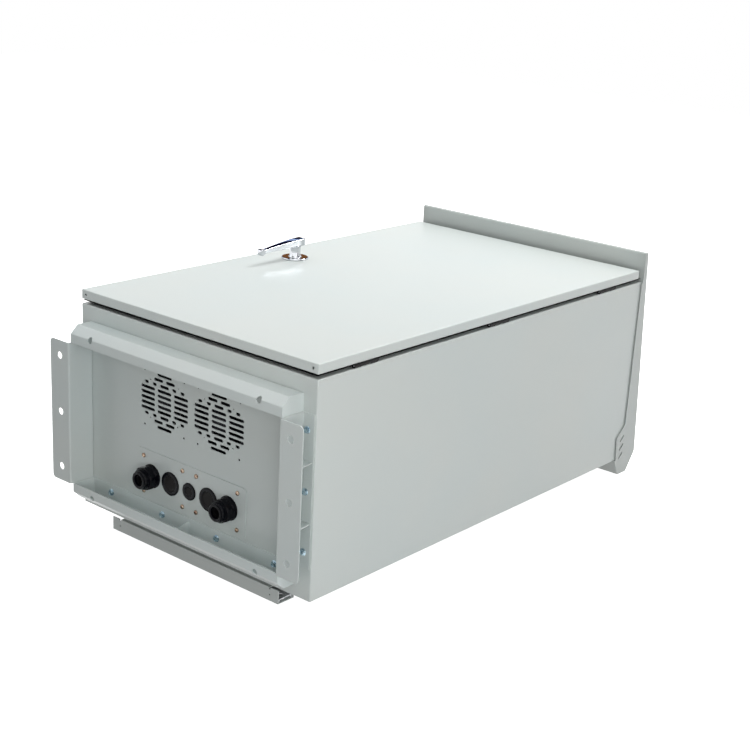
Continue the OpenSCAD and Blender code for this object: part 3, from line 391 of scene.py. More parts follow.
@dataclass(frozen=True)
class ZincSheet(Finish):
    """Galvanised sheet with a faint spangle."""

    pale: Colour = (0.62, 0.63, 0.65)
    deep: Colour = (0.47, 0.48, 0.50)

    def build(self, graph: Graph) -> None:
        """Fill the node tree.

        Args:
            graph: The material's graph.
        """
        warp = graph.noise(90.0, 2.0, 0.5)
        spangle = graph.cells(120.0)
        tone = graph.node("ShaderNodeSeparateColor", inputs={"Color": spangle})
        blend = (tone * 0.75 + warp * 0.25).clamped()
        graph.surface(
            Base_Color=graph.mix(blend, self.deep, self.pale),
            Metallic=0.9,
            Roughness=blend * 0.16 + 0.34,
            Normal=graph.bump(warp, 0.06 * MM, 0.3),
        )


@dataclass(frozen=True)
class Moulded(Finish):
    """Moulded black nylon: a fine spark-eroded grain and soft shine."""

    colour: Colour = (0.0014, 0.0016, 0.0032)
    roughness: float = 0.17
    grain: float = 0.01 * MM
    shine: float = 0.13

    def build(self, graph: Graph) -> None:
        """Fill the node tree.

        Args:
            graph: The material's graph.
        """
        grain = graph.noise(1300.0, 2.0, 0.5)
        cloud = graph.noise(35.0, 2.0, 0.5)
        lift = tuple(c * 1.9 + 0.0008 for c in self.colour)
        graph.surface(
            Base_Color=graph.mix(cloud.ramp(0.3, 0.75) * 0.6, self.colour, lift),
            Roughness=cloud * 0.1 + grain * 0.06 + (self.roughness - 0.08),
            Normal=graph.bump(grain, self.grain, 0.5),
            Specular_IOR_Level=self.shine,
        )


@dataclass(frozen=True)
class Rubber(Finish):
    """Black moulded rubber with a dry, slightly dusty skin."""

    colour: Colour = (0.004, 0.004, 0.0045)
    roughness: float = 0.55

    def build(self, graph: Graph) -> None:
        """Fill the node tree.

        Args:
            graph: The material's graph.
        """
        dust = graph.noise(140.0, 4.0, 0.6)
        skin = graph.noise(1100.0, 2.0, 0.5)
        graph.surface(
            Base_Color=graph.mix(dust.ramp(0.5, 0.85) * 0.4, self.colour, (0.016, 0.016, 0.016)),
            Roughness=dust * 0.14 + (self.roughness - 0.07),
            Normal=graph.bump(skin, 0.05 * MM, 0.6),
            Specular_IOR_Level=0.07,
        )


@dataclass(frozen=True)
class GrommetRubber(Finish):
    """One rubber coloured two ways: the lip painted darker and bluer as a painted dark reflection, the skin
    behind it painted lighter and browner as painted light.
    """

    # Lip colour: painted dark reflection. Skin colour: painted light. The rubber itself is one.
    lip: Colour = (0.0012, 0.0015, 0.0032)
    skin: Colour = (0.0065, 0.0057, 0.0056)
    lip_z: float = 0.0
    skin_z: float = 0.001

    def build(self, graph: Graph) -> None:
        """Fill the node tree.

        Args:
            graph: The material's graph.
        """
        place = graph.node("ShaderNodeTexCoord", out="Object")
        height = graph.node("ShaderNodeSeparateXYZ", inputs={0: place}, out="Z")
        # Height mask that swaps the lip's painted reflection for the skin's painted light.
        inside = height.ramp(self.lip_z, self.skin_z)
        grain = graph.noise(1100.0, 2.0, 0.5)
        graph.surface(
            Base_Color=graph.mix(inside, self.lip, self.skin),
            Roughness=inside * 0.35 + grain * 0.05 + 0.16,
            Normal=graph.bump(grain, 0.01 * MM, 0.5),
            Specular_IOR_Level=0.14,
        )


@dataclass(frozen=True)
class BlackPaint(Finish):
    """Satin black paint on small hardware."""

    def build(self, graph: Graph) -> None:
        """Fill the node tree.

        Args:
            graph: The material's graph.
        """
        wear = graph.noise(260.0, 3.0, 0.6)
        graph.surface(
            Base_Color=graph.mix(wear.ramp(0.6, 0.85) * 0.4, (0.004, 0.004, 0.004), (0.02, 0.02, 0.02)),
            Roughness=wear * 0.15 + 0.45,
            Normal=graph.bump(wear, 0.04 * MM, 0.4),
            Specular_IOR_Level=0.15,
        )


BODY_PAINT = PowderCoat("Body powder coat", Slot.SHELL)
# The hood wears the body's shell paint made darker: painted shade.
HOOD_PAINTED_SHADE = PowderCoat("Hood powder coat with painted shade", Slot.SHELL, colour=(0.485, 0.522, 0.510))
PLINTH_PAINT = PowderCoat("Plinth powder coat", Slot.PLINTH, colour=(0.600, 0.650, 0.643))
# The plinth bars wear the plinth paint made lighter: painted light.
BAR_PAINTED_LIGHT = PowderCoat("Plinth bar powder coat with painted light", Slot.PLINTH, colour=(0.635, 0.695, 0.690))
# The wall rails wear the plinth paint made darker: painted shade.
RAIL_PAINTED_SHADE = PowderCoat("Wall rail powder coat with painted shade", Slot.PLINTH, colour=(0.475, 0.510, 0.500))
CHROME = Chrome("Polished chrome", Slot.CHROME)
ROSE_CHROME = Chrome("Turned chrome", Slot.CHROME)
BLUE_ZINC = Zinc("Blue zinc", Slot.BLUE_ZINC)
YELLOW_ZINC = Zinc("Yellow zinc", Slot.YELLOW_ZINC, pale=(0.58, 0.47, 0.36), deep=(0.16, 0.075, 0.05),
                   roughness=0.12)
ZINC_SHEET = ZincSheet("Galvanised sheet", Slot.ZINC_SHEET)
NYLON = Moulded("Black nylon", Slot.NYLON)
FAN_NYLON = Moulded("Fan nylon", Slot.NYLON, colour=(0.0035, 0.0038, 0.0055), roughness=0.55,
                    grain=0.04 * MM, shine=0.1)
RUBBER = Rubber("Black rubber", Slot.RUBBER)
GROMMET_RUBBER = GrommetRubber("Grommet rubber", Slot.RUBBER, lip_z=51.7 * MM, skin_z=52.5 * MM)
HINGE_PAINT = BlackPaint("Satin black paint", Slot.HINGE)
FINISHES = {
    finish.slot.value: finish
    for finish in (BODY_PAINT, PLINTH_PAINT, CHROME, BLUE_ZINC, YELLOW_ZINC, ZINC_SHEET, NYLON,
                   RUBBER, HINGE_PAINT)
}


# Modelling helpers


def deselect() -> None:
    """Leave object mode with nothing selected."""
    if bpy.context.mode != "OBJECT":
        bpy.ops.object.mode_set(mode="OBJECT")
    bpy.ops.object.select_all(action="DESELECT")


def activate(piece: bpy.types.Object) -> None:
    """Select one object alone and make it active.

    Args:
        piece: The object.
    """
    deselect()
    piece.select_set(True)
    bpy.context.view_layer.objects.active = piece


def edit_all(piece: bpy.types.Object) -> None:
    """Enter edit mode on one object with everything selected.

    Args:
        piece: The object.
    """
    activate(piece)
    bpy.ops.object.mode_set(mode="EDIT")
    bpy.ops.mesh.select_all(action="SELECT")


def settle(piece: bpy.types.Object, name: str = "") -> bpy.types.Object:
    """Move a piece's place into its mesh, and name it.

    Args:
        piece: The object.
        name: Its new name, or none to keep the one that it has.

    Returns:
        The same object, at the origin.
    """
    activate(piece)
    bpy.ops.object.transform_apply(location=True, rotation=True, scale=True)
    if name:
        piece.name = name
        piece.data.name = name
    return piece


def dress(piece: bpy.types.Object, finish: Finish) -> bpy.types.Object:
    """Give a piece one finish all over.

    Args:
        piece: The object to paint.
        finish: The finish.

    Returns:
        The same object.
    """
    piece.data.materials.clear()
    piece.data.materials.append(finish.material())
    return piece


def mount(piece: bpy.types.Object, finish: Finish, body: Body, node: str = "") -> None:
    """Dress a new piece, tie it to its body and hide the solid that it stands for.

    Args:
        piece: The finished piece.
        finish: Its finish.
        body: The body it rides on.
        node: The solid that it replaces, if any.
    """
    dress(piece, finish)
    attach(piece, body.value)
    if node:
        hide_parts(node)
    LOG.info("%s: %d faces on %s", piece.name, len(piece.data.polygons), body.value)


def stand_in(piece: bpy.types.Object, node: str, ending: str, finish: Finish,
             body: Body = Body.CABINET) -> None:
    """Name a finished piece after its solid and mount it in that solid's place.

    Args:
        piece: The finished piece.
        node: The solid that it replaces.
        ending: What its name adds to the solid's.
        finish: Its finish.
        body: The body it rides on.
    """
    mount(settle(piece, f"{node}_{ending}"), finish, body, node)


def apply_modifier(piece: bpy.types.Object, kind: str, **settings: object) -> None:
    """Add one modifier with its settings and apply it.

    Args:
        piece: The object to change.
        kind: The modifier's type.
        **settings: Its settings.
    """
    activate(piece)
    modifier = piece.modifiers.new(kind.lower(), kind)
    for key, value in settings.items():
        setattr(modifier, key, value)
    bpy.ops.object.modifier_apply(modifier=modifier.name)


def smooth(piece: bpy.types.Object, degrees: float, weighted: bool = False) -> bpy.types.Object:
    """Shade a piece smooth up to an angle between its faces.

    Args:
        piece: The object to shade.
        degrees: The angle beyond which an edge stays crisp.
        weighted: Whether wide faces stay flat up to their rounded edges.

    Returns:
        The same object.
    """
    activate(piece)
    bpy.ops.object.shade_smooth_by_angle(angle=math.radians(degrees))
    if weighted:
        apply_modifier(piece, "WEIGHTED_NORMAL", keep_sharp=True, weight=100)
    return piece


def close_up(piece: bpy.types.Object, merge: float = 1e-6) -> None:
    """Merge doubles, fill open ends and turn every face outwards.

    Args:
        piece: The object to close.
        merge: Distance below which points merge.
    """
    edit_all(piece)
    bpy.ops.mesh.remove_doubles(threshold=merge)
    bpy.ops.mesh.fill_holes(sides=0)
    bpy.ops.mesh.select_all(action="SELECT")
    bpy.ops.mesh.normals_make_consistent(inside=False)
    bpy.ops.object.mode_set(mode="OBJECT")


def turned(name: str, profile: Sequence[tuple[float, float]], sides: int = 64) -> bpy.types.Object:
    """Make a lathe-turned piece about +Z.

    Args:
        name: The piece's name.
        profile: Radii and heights in millimetres. A closed profile makes a ring.
        sides: Sides of the circle.

    Returns:
        The piece.
    """
    deselect()
    radius, height = profile[0]
    bpy.ops.mesh.primitive_circle_add(vertices=sides, radius=radius * MM, location=(0, 0, height * MM))
    piece = bpy.context.active_object
    edit_all(piece)
    for new_radius, new_height in profile[1:]:
        lift = (0, 0, (new_height - height) * MM)
        bpy.ops.mesh.extrude_edges_move(TRANSFORM_OT_translate={"value": lift})
        if abs(new_radius - radius) > 1e-9:
            grow = new_radius / radius
            bpy.ops.transform.resize(value=(grow, grow, 1), center_override=(0, 0, 0))
        radius, height = new_radius, new_height
    bpy.ops.object.mode_set(mode="OBJECT")
    settle(piece, name)
    close_up(piece)
    return piece


def prism(name: str, across: float, low: float, high: float, sides: int = 6,
          turn: float = 0.0) -> bpy.types.Object:
    """Make a straight prism about +Z.

    Args:
        name: The piece's name.
        across: Width across its flats in millimetres.
        low: Its lower height in millimetres.
        high: Its upper height in millimetres.
        sides: Its number of sides.
        turn: Turn about +Z in degrees.

    Returns:
        The piece.
    """
    deselect()
    radius = across / 2 / math.cos(math.pi / sides) * MM
    bpy.ops.mesh.primitive_circle_add(vertices=sides, radius=radius, fill_type="NGON",
                                      location=(0, 0, low * MM), rotation=(0, 0, math.radians(turn)))
    piece = bpy.context.active_object
    edit_all(piece)
    bpy.ops.mesh.extrude_region_move(TRANSFORM_OT_translate={"value": (0, 0, (high - low) * MM)})
    bpy.ops.object.mode_set(mode="OBJECT")
    settle(piece, name)
    close_up(piece)
    return piece


def carve(piece: bpy.types.Object, tool: bpy.types.Object, how: str = "DIFFERENCE") -> bpy.types.Object:
    """Cut one piece with another and drop the cutter.

    Args:
        piece: The piece that stays.
        tool: The cutter.
        how: The boolean operation.

    Returns:
        The cut piece.
    """
    apply_modifier(piece, "BOOLEAN", object=tool, operation=how, solver="EXACT")
    bpy.data.objects.remove(tool)
    return piece


def joined(pieces: Sequence[bpy.types.Object]) -> bpy.types.Object:
    """Join pieces into one object at the origin.

    Args:
        pieces: The objects to join.

    Returns:
        The joined object.
    """
    deselect()
    for piece in pieces:
        piece.select_set(True)
    bpy.context.view_layer.objects.active = pieces[0]
    if len(pieces) > 1:
        bpy.ops.object.join()
    return settle(pieces[0])


def repeated(template: bpy.types.Object, places: Iterable[Matrix]) -> bpy.types.Object:
    """Copy a finished piece to each of its places and join the copies.

    Args:
        template: The piece, modelled about the origin; it is dropped.
        places: Where each copy goes.

    Returns:
        The joined object.
    """
    copies = []
    for place in places:
        activate(template)
        bpy.ops.object.duplicate(linked=False)
        copy = bpy.context.active_object
        copy.matrix_world = place
        copies.append(settle(copy))
    bpy.data.objects.remove(template)
    return joined(copies)


def at(x: float, y: float, z: float, about_x: float = 0.0, about_y: float = 0.0,
       about_z: float = 0.0) -> Matrix:
    """Return a place from millimetres and degrees; the turns go about X, Y and then Z.

    Args:
        x: Place along X.
        y: Place along Y.
        z: Place along Z.
        about_x: First turn.
        about_y: Second turn.
        about_z: Third turn.

    Returns:
        The matrix.
    """
    turn = Matrix.Identity(4)
    for angle, axis in ((about_x, "X"), (about_y, "Y"), (about_z, "Z")):
        turn = Matrix.Rotation(math.radians(angle), 4, axis) @ turn
    return Matrix.Translation(Vector((x, y, z)) * MM) @ turn


def moved(piece: bpy.types.Object, *place: float) -> bpy.types.Object:
    """Carry a piece's mesh to its place.

    Args:
        piece: The piece, modelled about the origin.
        *place: Millimetres and degrees, in the order of at().

    Returns:
        The same object, at the origin.
    """
    deselect()
    piece.matrix_world = at(*place)
    return settle(piece)


def rectangle(name: str, turn: Point, size: Point) -> bpy.types.Object:
    """Add a rectangle about the origin and leave it in edit mode with all of it selected.

    Args:
        name: Its name.
        turn: Euler angles that stand the flat sheet up.
        size: Its stretch along each axis once it stands.

    Returns:
        The rectangle.
    """
    deselect()
    bpy.ops.mesh.primitive_plane_add(size=1.0, rotation=turn)
    piece = bpy.context.active_object
    piece.name = name
    bpy.ops.object.transform_apply(location=False, rotation=True, scale=False)
    edit_all(piece)
    bpy.ops.transform.resize(value=size)
    return piece


# Softened solids


@dataclass
class Softened:
    """Copies of folded or moulded solids whose sharp edges are broken."""

    finish: Finish
    body: Body
    nodes: tuple[str, ...]
    edge: float = 0.35
    segments: int = 2
    fold: float = 0.0

    def build(self) -> None:
        """Make each node's softened copy."""
        for node in self.nodes:
            self.soften(node)

    def soften(self, node: str) -> None:
        """Copy one node, merge its loose triangles and round its edges.

        Args:
            node: The solid's name.
        """
        source = bpy.data.objects[node]
        piece = bpy.data.objects.new(f"{node}_finished", source.data.copy())
        bpy.context.scene.collection.objects.link(piece)
        edit_all(piece)
        bpy.ops.mesh.remove_doubles(threshold=2e-6)
        bpy.ops.mesh.dissolve_limited(angle_limit=math.radians(0.5))
        bpy.ops.object.mode_set(mode="OBJECT")
        if self.fold:
            self.round_folds(piece, *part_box(node))
        apply_modifier(piece, "BEVEL", width=self.edge * MM, segments=self.segments,
                       limit_method="ANGLE", angle_limit=math.radians(35),
                       harden_normals=False, use_clamp_overlap=True)
        smooth(piece, 34.0, weighted=True)
        mount(piece, self.finish, self.body, node)

    def round_folds(self, piece: bpy.types.Object, low: Sequence[float], high: Sequence[float]) -> None:
        """Bend the outer edges of the front, sides, floor and top to a real fold's radius.

        Args:
            piece: The copy of the sheet part.
            low: The part's lowest corner.
            high: The part's highest corner.
        """
        edit_all(piece)
        bpy.ops.mesh.select_mode(type="EDGE")
        bpy.ops.mesh.select_all(action="DESELECT")
        bpy.ops.object.mode_set(mode="OBJECT")
        mesh = piece.data
        planes = [(0, low[0]), (0, high[0]), (1, low[1]), (2, low[2]), (2, high[2])]
        on = [{i for i, (axis, level) in enumerate(planes) if abs(v.co[axis] - level) < 2e-5}
              for v in mesh.vertices]
        for edge in mesh.edges:
            first, second = edge.vertices
            edge.select = len(on[first] & on[second]) >= 2
        bpy.ops.object.mode_set(mode="EDIT")
        bpy.ops.mesh.bevel(offset=self.fold * MM, segments=4, affect="EDGES", profile=0.5)
        bpy.ops.mesh.select_mode(type="VERT")
        bpy.ops.object.mode_set(mode="OBJECT")


# Fasteners


@dataclass
class Fasteners:
    """Bolts, nuts and screws, each modelled once and set out over its places."""

    floor_z: float = 56.0
    top_z: float = 1068.0
    back_y: float = 200.0
    sheet: float = 1.5
    plinth_t: float = 2.0
    small_nut: Point = (10.0, 5.0, 3.1)
    base_columns: tuple[float, ...] = (-216, -72, 72, 216)
    base_rows: tuple[float, ...] = (-155, 155)
    bracket_x: float = 282.0
    bracket_rows: tuple[float, ...] = (-110, 0, 110)
    base_turns: tuple[float, ...] = (17.0, 41.0, 5.0, 33.0, 52.0, 11.0, 26.0)
    hood_columns: tuple[float, ...] = (-228, 0, 228)
    hood_front_y: float = -188.0
    hood_back_drop: float = 28.0
    rack_rows: tuple[float, ...] = (-118, 130)
    rack_face_x: float = 267.0
    rail_columns: tuple[float, ...] = (-180.0, -60.0, 60.0, 180.0)
    plate_columns: tuple[float, ...] = (-123.0, -18.0, 18.0, 123.0)
    plate_rows: tuple[float, ...] = (52.0, 122.0)
    plate_turns: tuple[float, ...] = (10.0, 62.0, 35.0, 80.0, 20.0, 50.0, 5.0, 71.0)
    fan_x: float = 70.5
    fan_y: float = -62.0
    fan_reach: float = 52.5
    spindle: Point = (-224.6, -194.8, 547.4)

    @staticmethod
    def thread(radius: float, low: float, high: float, pitch: float = 1.0) -> bpy.types.Object:
        """Make a threaded shank with a chamfered end.

        Args:
            radius: Its outer radius.
            low: Its lower end.
            high: Its upper end.
            pitch: Distance between its crests.

        Returns:
            The shank.
        """
        profile = [(radius, low)]
        for step in range(int((high - low - 1.0) / pitch)):
            base = low + 0.2 + step * pitch
            profile += [(radius, base + pitch * 0.1), (radius - 0.4, base + pitch * 0.5),
                        (radius, base + pitch * 0.9)]
        profile += [(radius, high - 0.6), (radius - 0.6, high)]
        return turned("shank", profile, 24)

    @staticmethod
    def hexagon_head(across: float, low: float, high: float) -> bpy.types.Object:
        """Make a hexagon head whose corners at its lower end are turned off.

        Args:
            across: Width across flats.
            low: Its lower, outer face.
            high: Its upper face.

        Returns:
            The head.
        """
        round_r = across / 2
        form = turned("form", [(round_r - 0.5, low - 0.01), (round_r + 0.15, low + 0.4),
                               (round_r * 1.2, low + 1.6), (round_r * 1.2, high + 0.5)])
        return carve(prism("head", across, low, high), form, "INTERSECT")

    def flange_bolt(self, length: float) -> bpy.types.Object:
        """Make a flange-headed bolt, head below z = 0, shank upwards.

        Args:
            length: Length of its shank.

        Returns:
            The bolt.
        """
        flange = turned("flange", [(5.0, -1.7), (5.6, -1.35), (6.3, -0.85), (6.5, -0.6), (6.5, -0.15),
                                   (6.35, 0.0)])
        head = self.hexagon_head(10.0, -4.2, -0.4)
        carve(head, turned("dish", [(3.9, -4.4), (3.9, -4.2), (3.2, -3.6), (2.2, -3.45)]))
        return smooth(joined([flange, head, self.thread(3.0, -0.1, length)]), 38.0)

    @staticmethod
    def hexagon_nut(across: float, height: float, bore: float) -> bpy.types.Object:
        """Make a nut standing on z = 0, chamfered at its outer end.

        Args:
            across: Width across flats.
            height: Its height.
            bore: Radius of its bore.

        Returns:
            The nut.
        """
        round_r = across / 2
        form = turned("form", [(round_r * 1.2, -0.5), (round_r * 1.2, height - 1.5),
                               (round_r + 0.15, height - 0.4), (round_r - 0.5, height + 0.01)])
        nut = carve(prism("nut", across, 0.0, height), form, "INTERSECT")
        hole = turned("hole", [(bore + 0.6, -0.5), (bore + 0.45, 0.0), (bore, 0.5), (bore, height - 0.5),
                               (bore + 0.5, height), (bore + 0.7, height + 0.5)], 32)
        return smooth(carve(nut, hole), 38.0)

    def cross_screw(self, head_r: float, head_h: float, length: float) -> bpy.types.Object:
        """Make a 4 mm pan-head screw with a cross recess, head below z = 0.

        Args:
            head_r: Radius of its head.
            head_h: Height of its head.
            length: Length of its shank.

        Returns:
            The screw.
        """
        head = turned("head", [(head_r - 0.15, 0.0), (head_r, -0.3), (head_r, -head_h * 0.35),
                               (head_r * 0.93, -head_h * 0.62), (head_r * 0.76, -head_h * 0.85),
                               (head_r * 0.45, -head_h * 0.97), (head_r * 0.1, -head_h)], 40)
        for turn in (45.0, 135.0):
            deselect()
            bpy.ops.mesh.primitive_cube_add(size=1.0)
            slot = bpy.context.active_object
            edit_all(slot)
            bpy.ops.transform.resize(value=(head_r * 1.1 * MM, head_r * 0.24 * MM, 1.9 * MM))
            bpy.ops.mesh.bevel(offset=0.25 * MM, segments=2)
            carve(head, moved(slot, 0, 0, -head_h, 0, 0, turn))
        return smooth(joined([head, self.thread(2.0, -0.1, length, 0.8)]), 40.0)

    def build(self) -> None:
        """Make every set of fasteners."""
        self.base()
        self.hood()
        self.rack()
        self.rails()
        self.plate_and_fans()
        head = turned("head", [(4.0, 0.0), (4.2, 0.3), (4.2, 1.7), (3.9, 2.2), (3.4, 2.4)], 40)
        smooth(carve(head, prism("key", 2.5, 1.2, 3.0)), 38.0)
        stand_in(moved(head, *self.spindle, -90), "cam_screw", "plated", BLUE_ZINC, Body.HANDLE)

    def base(self) -> None:
        """Make the bolts and nuts of the plinth bars and base brackets."""
        spots = [(x, y) for x in self.base_columns for y in self.base_rows]
        spots += [(x, y) for x in (-self.bracket_x, self.bracket_x) for y in self.bracket_rows]
        places = [at(x, y, self.floor_z - self.plinth_t, 0, 0, self.base_turns[i % len(self.base_turns)])
                  for i, (x, y) in enumerate(spots)]
        bolt = self.flange_bolt(self.plinth_t + self.sheet + 5.0)
        stand_in(repeated(bolt, places), "base_bolts", "plated", BLUE_ZINC)
        places = [at(x, y, self.floor_z + self.sheet) for x, y in spots]
        stand_in(repeated(self.hexagon_nut(*self.small_nut), places), "base_nuts", "plated", BLUE_ZINC)

    def hood(self) -> None:
        """Make the bolts and nuts of the rain hood."""
        back_z = self.top_z - self.hood_back_drop
        for kind, step, node, turn in (
                (self.flange_bolt(2 * self.sheet + 5.0), -self.sheet, "hood_bolts", 12),
                (self.hexagon_nut(*self.small_nut), self.sheet, "hood_nuts", 0)):
            places = [at(x, self.hood_front_y, self.top_z + step, 0, 0, turn) for x in self.hood_columns]
            places += [at(x, self.back_y + step, back_z, -90) for x in self.hood_columns]
            stand_in(repeated(kind, places), node, "plated", BLUE_ZINC)

    def rack(self) -> None:
        """Make the bolts and nuts that hold the rack rails to their depth bars."""
        low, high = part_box("rack_bolts")
        bottom, top = low[2] / MM + 6.5, high[2] / MM - 6.5
        spots = [(y, z) for y in self.rack_rows for z in (bottom, (bottom + top) / 2, top)]
        for kind, x, node in ((self.flange_bolt(8.5), self.rack_face_x - 2.0, "rack_bolts"),
                              (self.hexagon_nut(*self.small_nut), self.rack_face_x + 1.5, "rack_nuts")):
            places = [at(side * x, y, z, 0, side * 90) for side in (-1, 1) for y, z in spots]
            stand_in(repeated(kind, places), node, "plated", BLUE_ZINC)

    def rails(self) -> None:
        """Make the bolts, nuts and spacers of the wall rails."""
        low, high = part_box("rail_spacers")
        levels = (low[2] / MM + 9.0, high[2] / MM - 9.0)
        bolt = smooth(joined([self.hexagon_head(13.0, -5.3, 0.0), self.thread(4.0, -0.1, 18.0, 1.25)]), 38.0)
        spacer = turned("spacer", [(4.1, 0.3), (4.4, 0.0), (8.6, 0.0), (9.0, 0.4), (9.0, 2.4), (8.7, 2.8),
                                   (8.7, 5.2), (9.0, 5.6), (9.0, 7.6), (8.6, 8.0), (4.4, 8.0),
                                   (4.1, 7.7), (4.1, 0.3)], 40)
        for kind, y, node, ending, finish in (
                (bolt, self.back_y - self.sheet, "rail_bolts", "plated", BLUE_ZINC),
                (self.hexagon_nut(13.0, 6.5, 4.1), self.back_y + 10.0, "rail_nuts", "plated", BLUE_ZINC),
                (smooth(spacer, 38.0), self.back_y, "rail_spacers", "moulded", RUBBER)):
            places = [at(x, y, z, -90) for z in levels for x in self.rail_columns]
            stand_in(repeated(kind, places), node, ending, finish)

    def plate_and_fans(self) -> None:
        """Make the screws of the gland plate and of the fans."""
        spots = [(x, y) for x in self.plate_columns for y in self.plate_rows]
        places = [at(x, y, self.floor_z - 2.0, 0, 0, turn) for (x, y), turn in zip(spots, self.plate_turns)]
        stand_in(repeated(self.cross_screw(4.4, 3.0, 7.5), places), "gland_plate_screws", "plated",
                 YELLOW_ZINC)
        places = [at(fan * self.fan_x + x * self.fan_reach, self.fan_y + y * self.fan_reach,
                     self.floor_z + self.sheet + 25.0, 180)
                  for fan in (-1, 1) for x in (-1, 1) for y in (-1, 1)]
        stand_in(repeated(self.cross_screw(3.6, 2.4, 26.5), places), "fan_screws", "moulded", NYLON)


# Handle


@dataclass
class SwingHandle:
    """Chromed lever handle on a round rose, with its square spindle."""

    spindle: Point = (-224.6, -226.6, 547.4)
    stations: tuple[tuple[float, float, float, float], ...] = (
        (20.0, 17.0, 40.6, 26.3), (19.5, 18.8, 41.0, 26.1), (18.0, 20.2, 41.0, 26.0),
        (14.5, 21.2, 40.9, 26.0), (8.0, 21.5, 40.65, 26.0), (1.0, 21.4, 40.35, 26.0),
        (-6.0, 20.8, 39.95, 26.0), (-20.0, 19.0, 38.9, 25.7), (-45.0, 15.8, 36.7, 25.0),
        (-65.0, 12.9, 34.5, 24.5), (-85.0, 10.4, 32.2, 23.6), (-90.0, 10.0, 31.8, 23.0),
        (-92.5, 10.2, 31.8, 22.2), (-95.0, 11.0, 32.3, 21.2), (-97.0, 12.0, 32.9, 20.4),
        (-99.5, 12.8, 33.2, 20.0), (-102.0, 12.8, 33.0, 20.2), (-104.0, 11.6, 32.2, 21.2),
        (-105.4, 9.2, 30.8, 22.8), (-106.0, 6.6, 29.2, 24.4),
    )
    corner: float = 0.13

    def lever(self) -> bpy.types.Object:
        """Loft the lever's grip through its stations.

        Each station holds a height, a width, and how far its outer and inner faces stand off the
        door.

        Returns:
            The grip.
        """
        deselect()
        height, width, outer, inner = self.stations[0]
        deep, middle = outer - inner, (outer + inner) / 2
        bpy.ops.mesh.primitive_plane_add(size=1.0)
        piece = bpy.context.active_object
        edit_all(piece)
        bpy.ops.mesh.bevel(offset=self.corner, segments=5, affect="VERTICES", profile=0.5)
        bpy.ops.mesh.select_all(action="SELECT")
        bpy.ops.transform.resize(value=(width * MM, deep * MM, 1.0))
        bpy.ops.transform.translate(value=(0.0, -middle * MM, height * MM))
        for new_height, new_width, new_outer, new_inner in self.stations[1:]:
            new_deep, new_middle = new_outer - new_inner, (new_outer + new_inner) / 2
            lift = (0.0, 0.0, (new_height - height) * MM)
            bpy.ops.mesh.extrude_region_move(TRANSFORM_OT_translate={"value": lift})
            bpy.ops.transform.resize(value=(new_width / width, new_deep / deep, 1.0),
                                     center_override=(0.0, -middle * MM, new_height * MM))
            bpy.ops.transform.translate(value=(0.0, (middle - new_middle) * MM, 0.0))
            height, width, deep, middle = new_height, new_width, new_deep, new_middle
        close_up(moved(piece, *self.spindle))
        apply_modifier(piece, "SUBSURF", levels=1, render_levels=1)
        return smooth(piece, 60.0, weighted=True)

    def build(self) -> None:
        """Make the lever with its post and spindle, and the rose."""
        post = turned("post", [(13.3, 0.35), (13.5, 0.6), (13.5, 4.2), (13.2, 4.9), (12.0, 5.7),
                               (11.5, 6.6), (11.4, 22.0), (11.7, 24.6), (12.4, 26.6), (9.0, 27.5)], 72)
        bar = prism("bar", 8.0, -31.8, 1.0, 4, 45.0)
        edit_all(bar)
        bpy.ops.mesh.bevel(offset=0.4 * MM, segments=2)
        parts = [self.lever(), moved(smooth(post, 40.0), *self.spindle, 90),
                 moved(smooth(bar, 30.0), *self.spindle, 90)]
        stand_in(joined(parts), "handle_lever", "chromed", CHROME, Body.HANDLE)
        rose = turned("rose", [(13.9, 0.0), (27.4, 0.0), (27.9, 0.3), (28.0, 1.0), (28.0, 2.2),
                               (27.8, 2.9), (27.3, 3.5), (26.6, 3.85), (26.0, 3.95), (15.0, 3.95),
                               (14.4, 3.8), (13.9, 3.3), (13.9, 0.0)], 96)
        smooth(rose, 40.0, weighted=True)
        stand_in(moved(rose, *self.spindle, 90), "handle_rose", "chromed", ROSE_CHROME, Body.DOOR)


# Cable entry


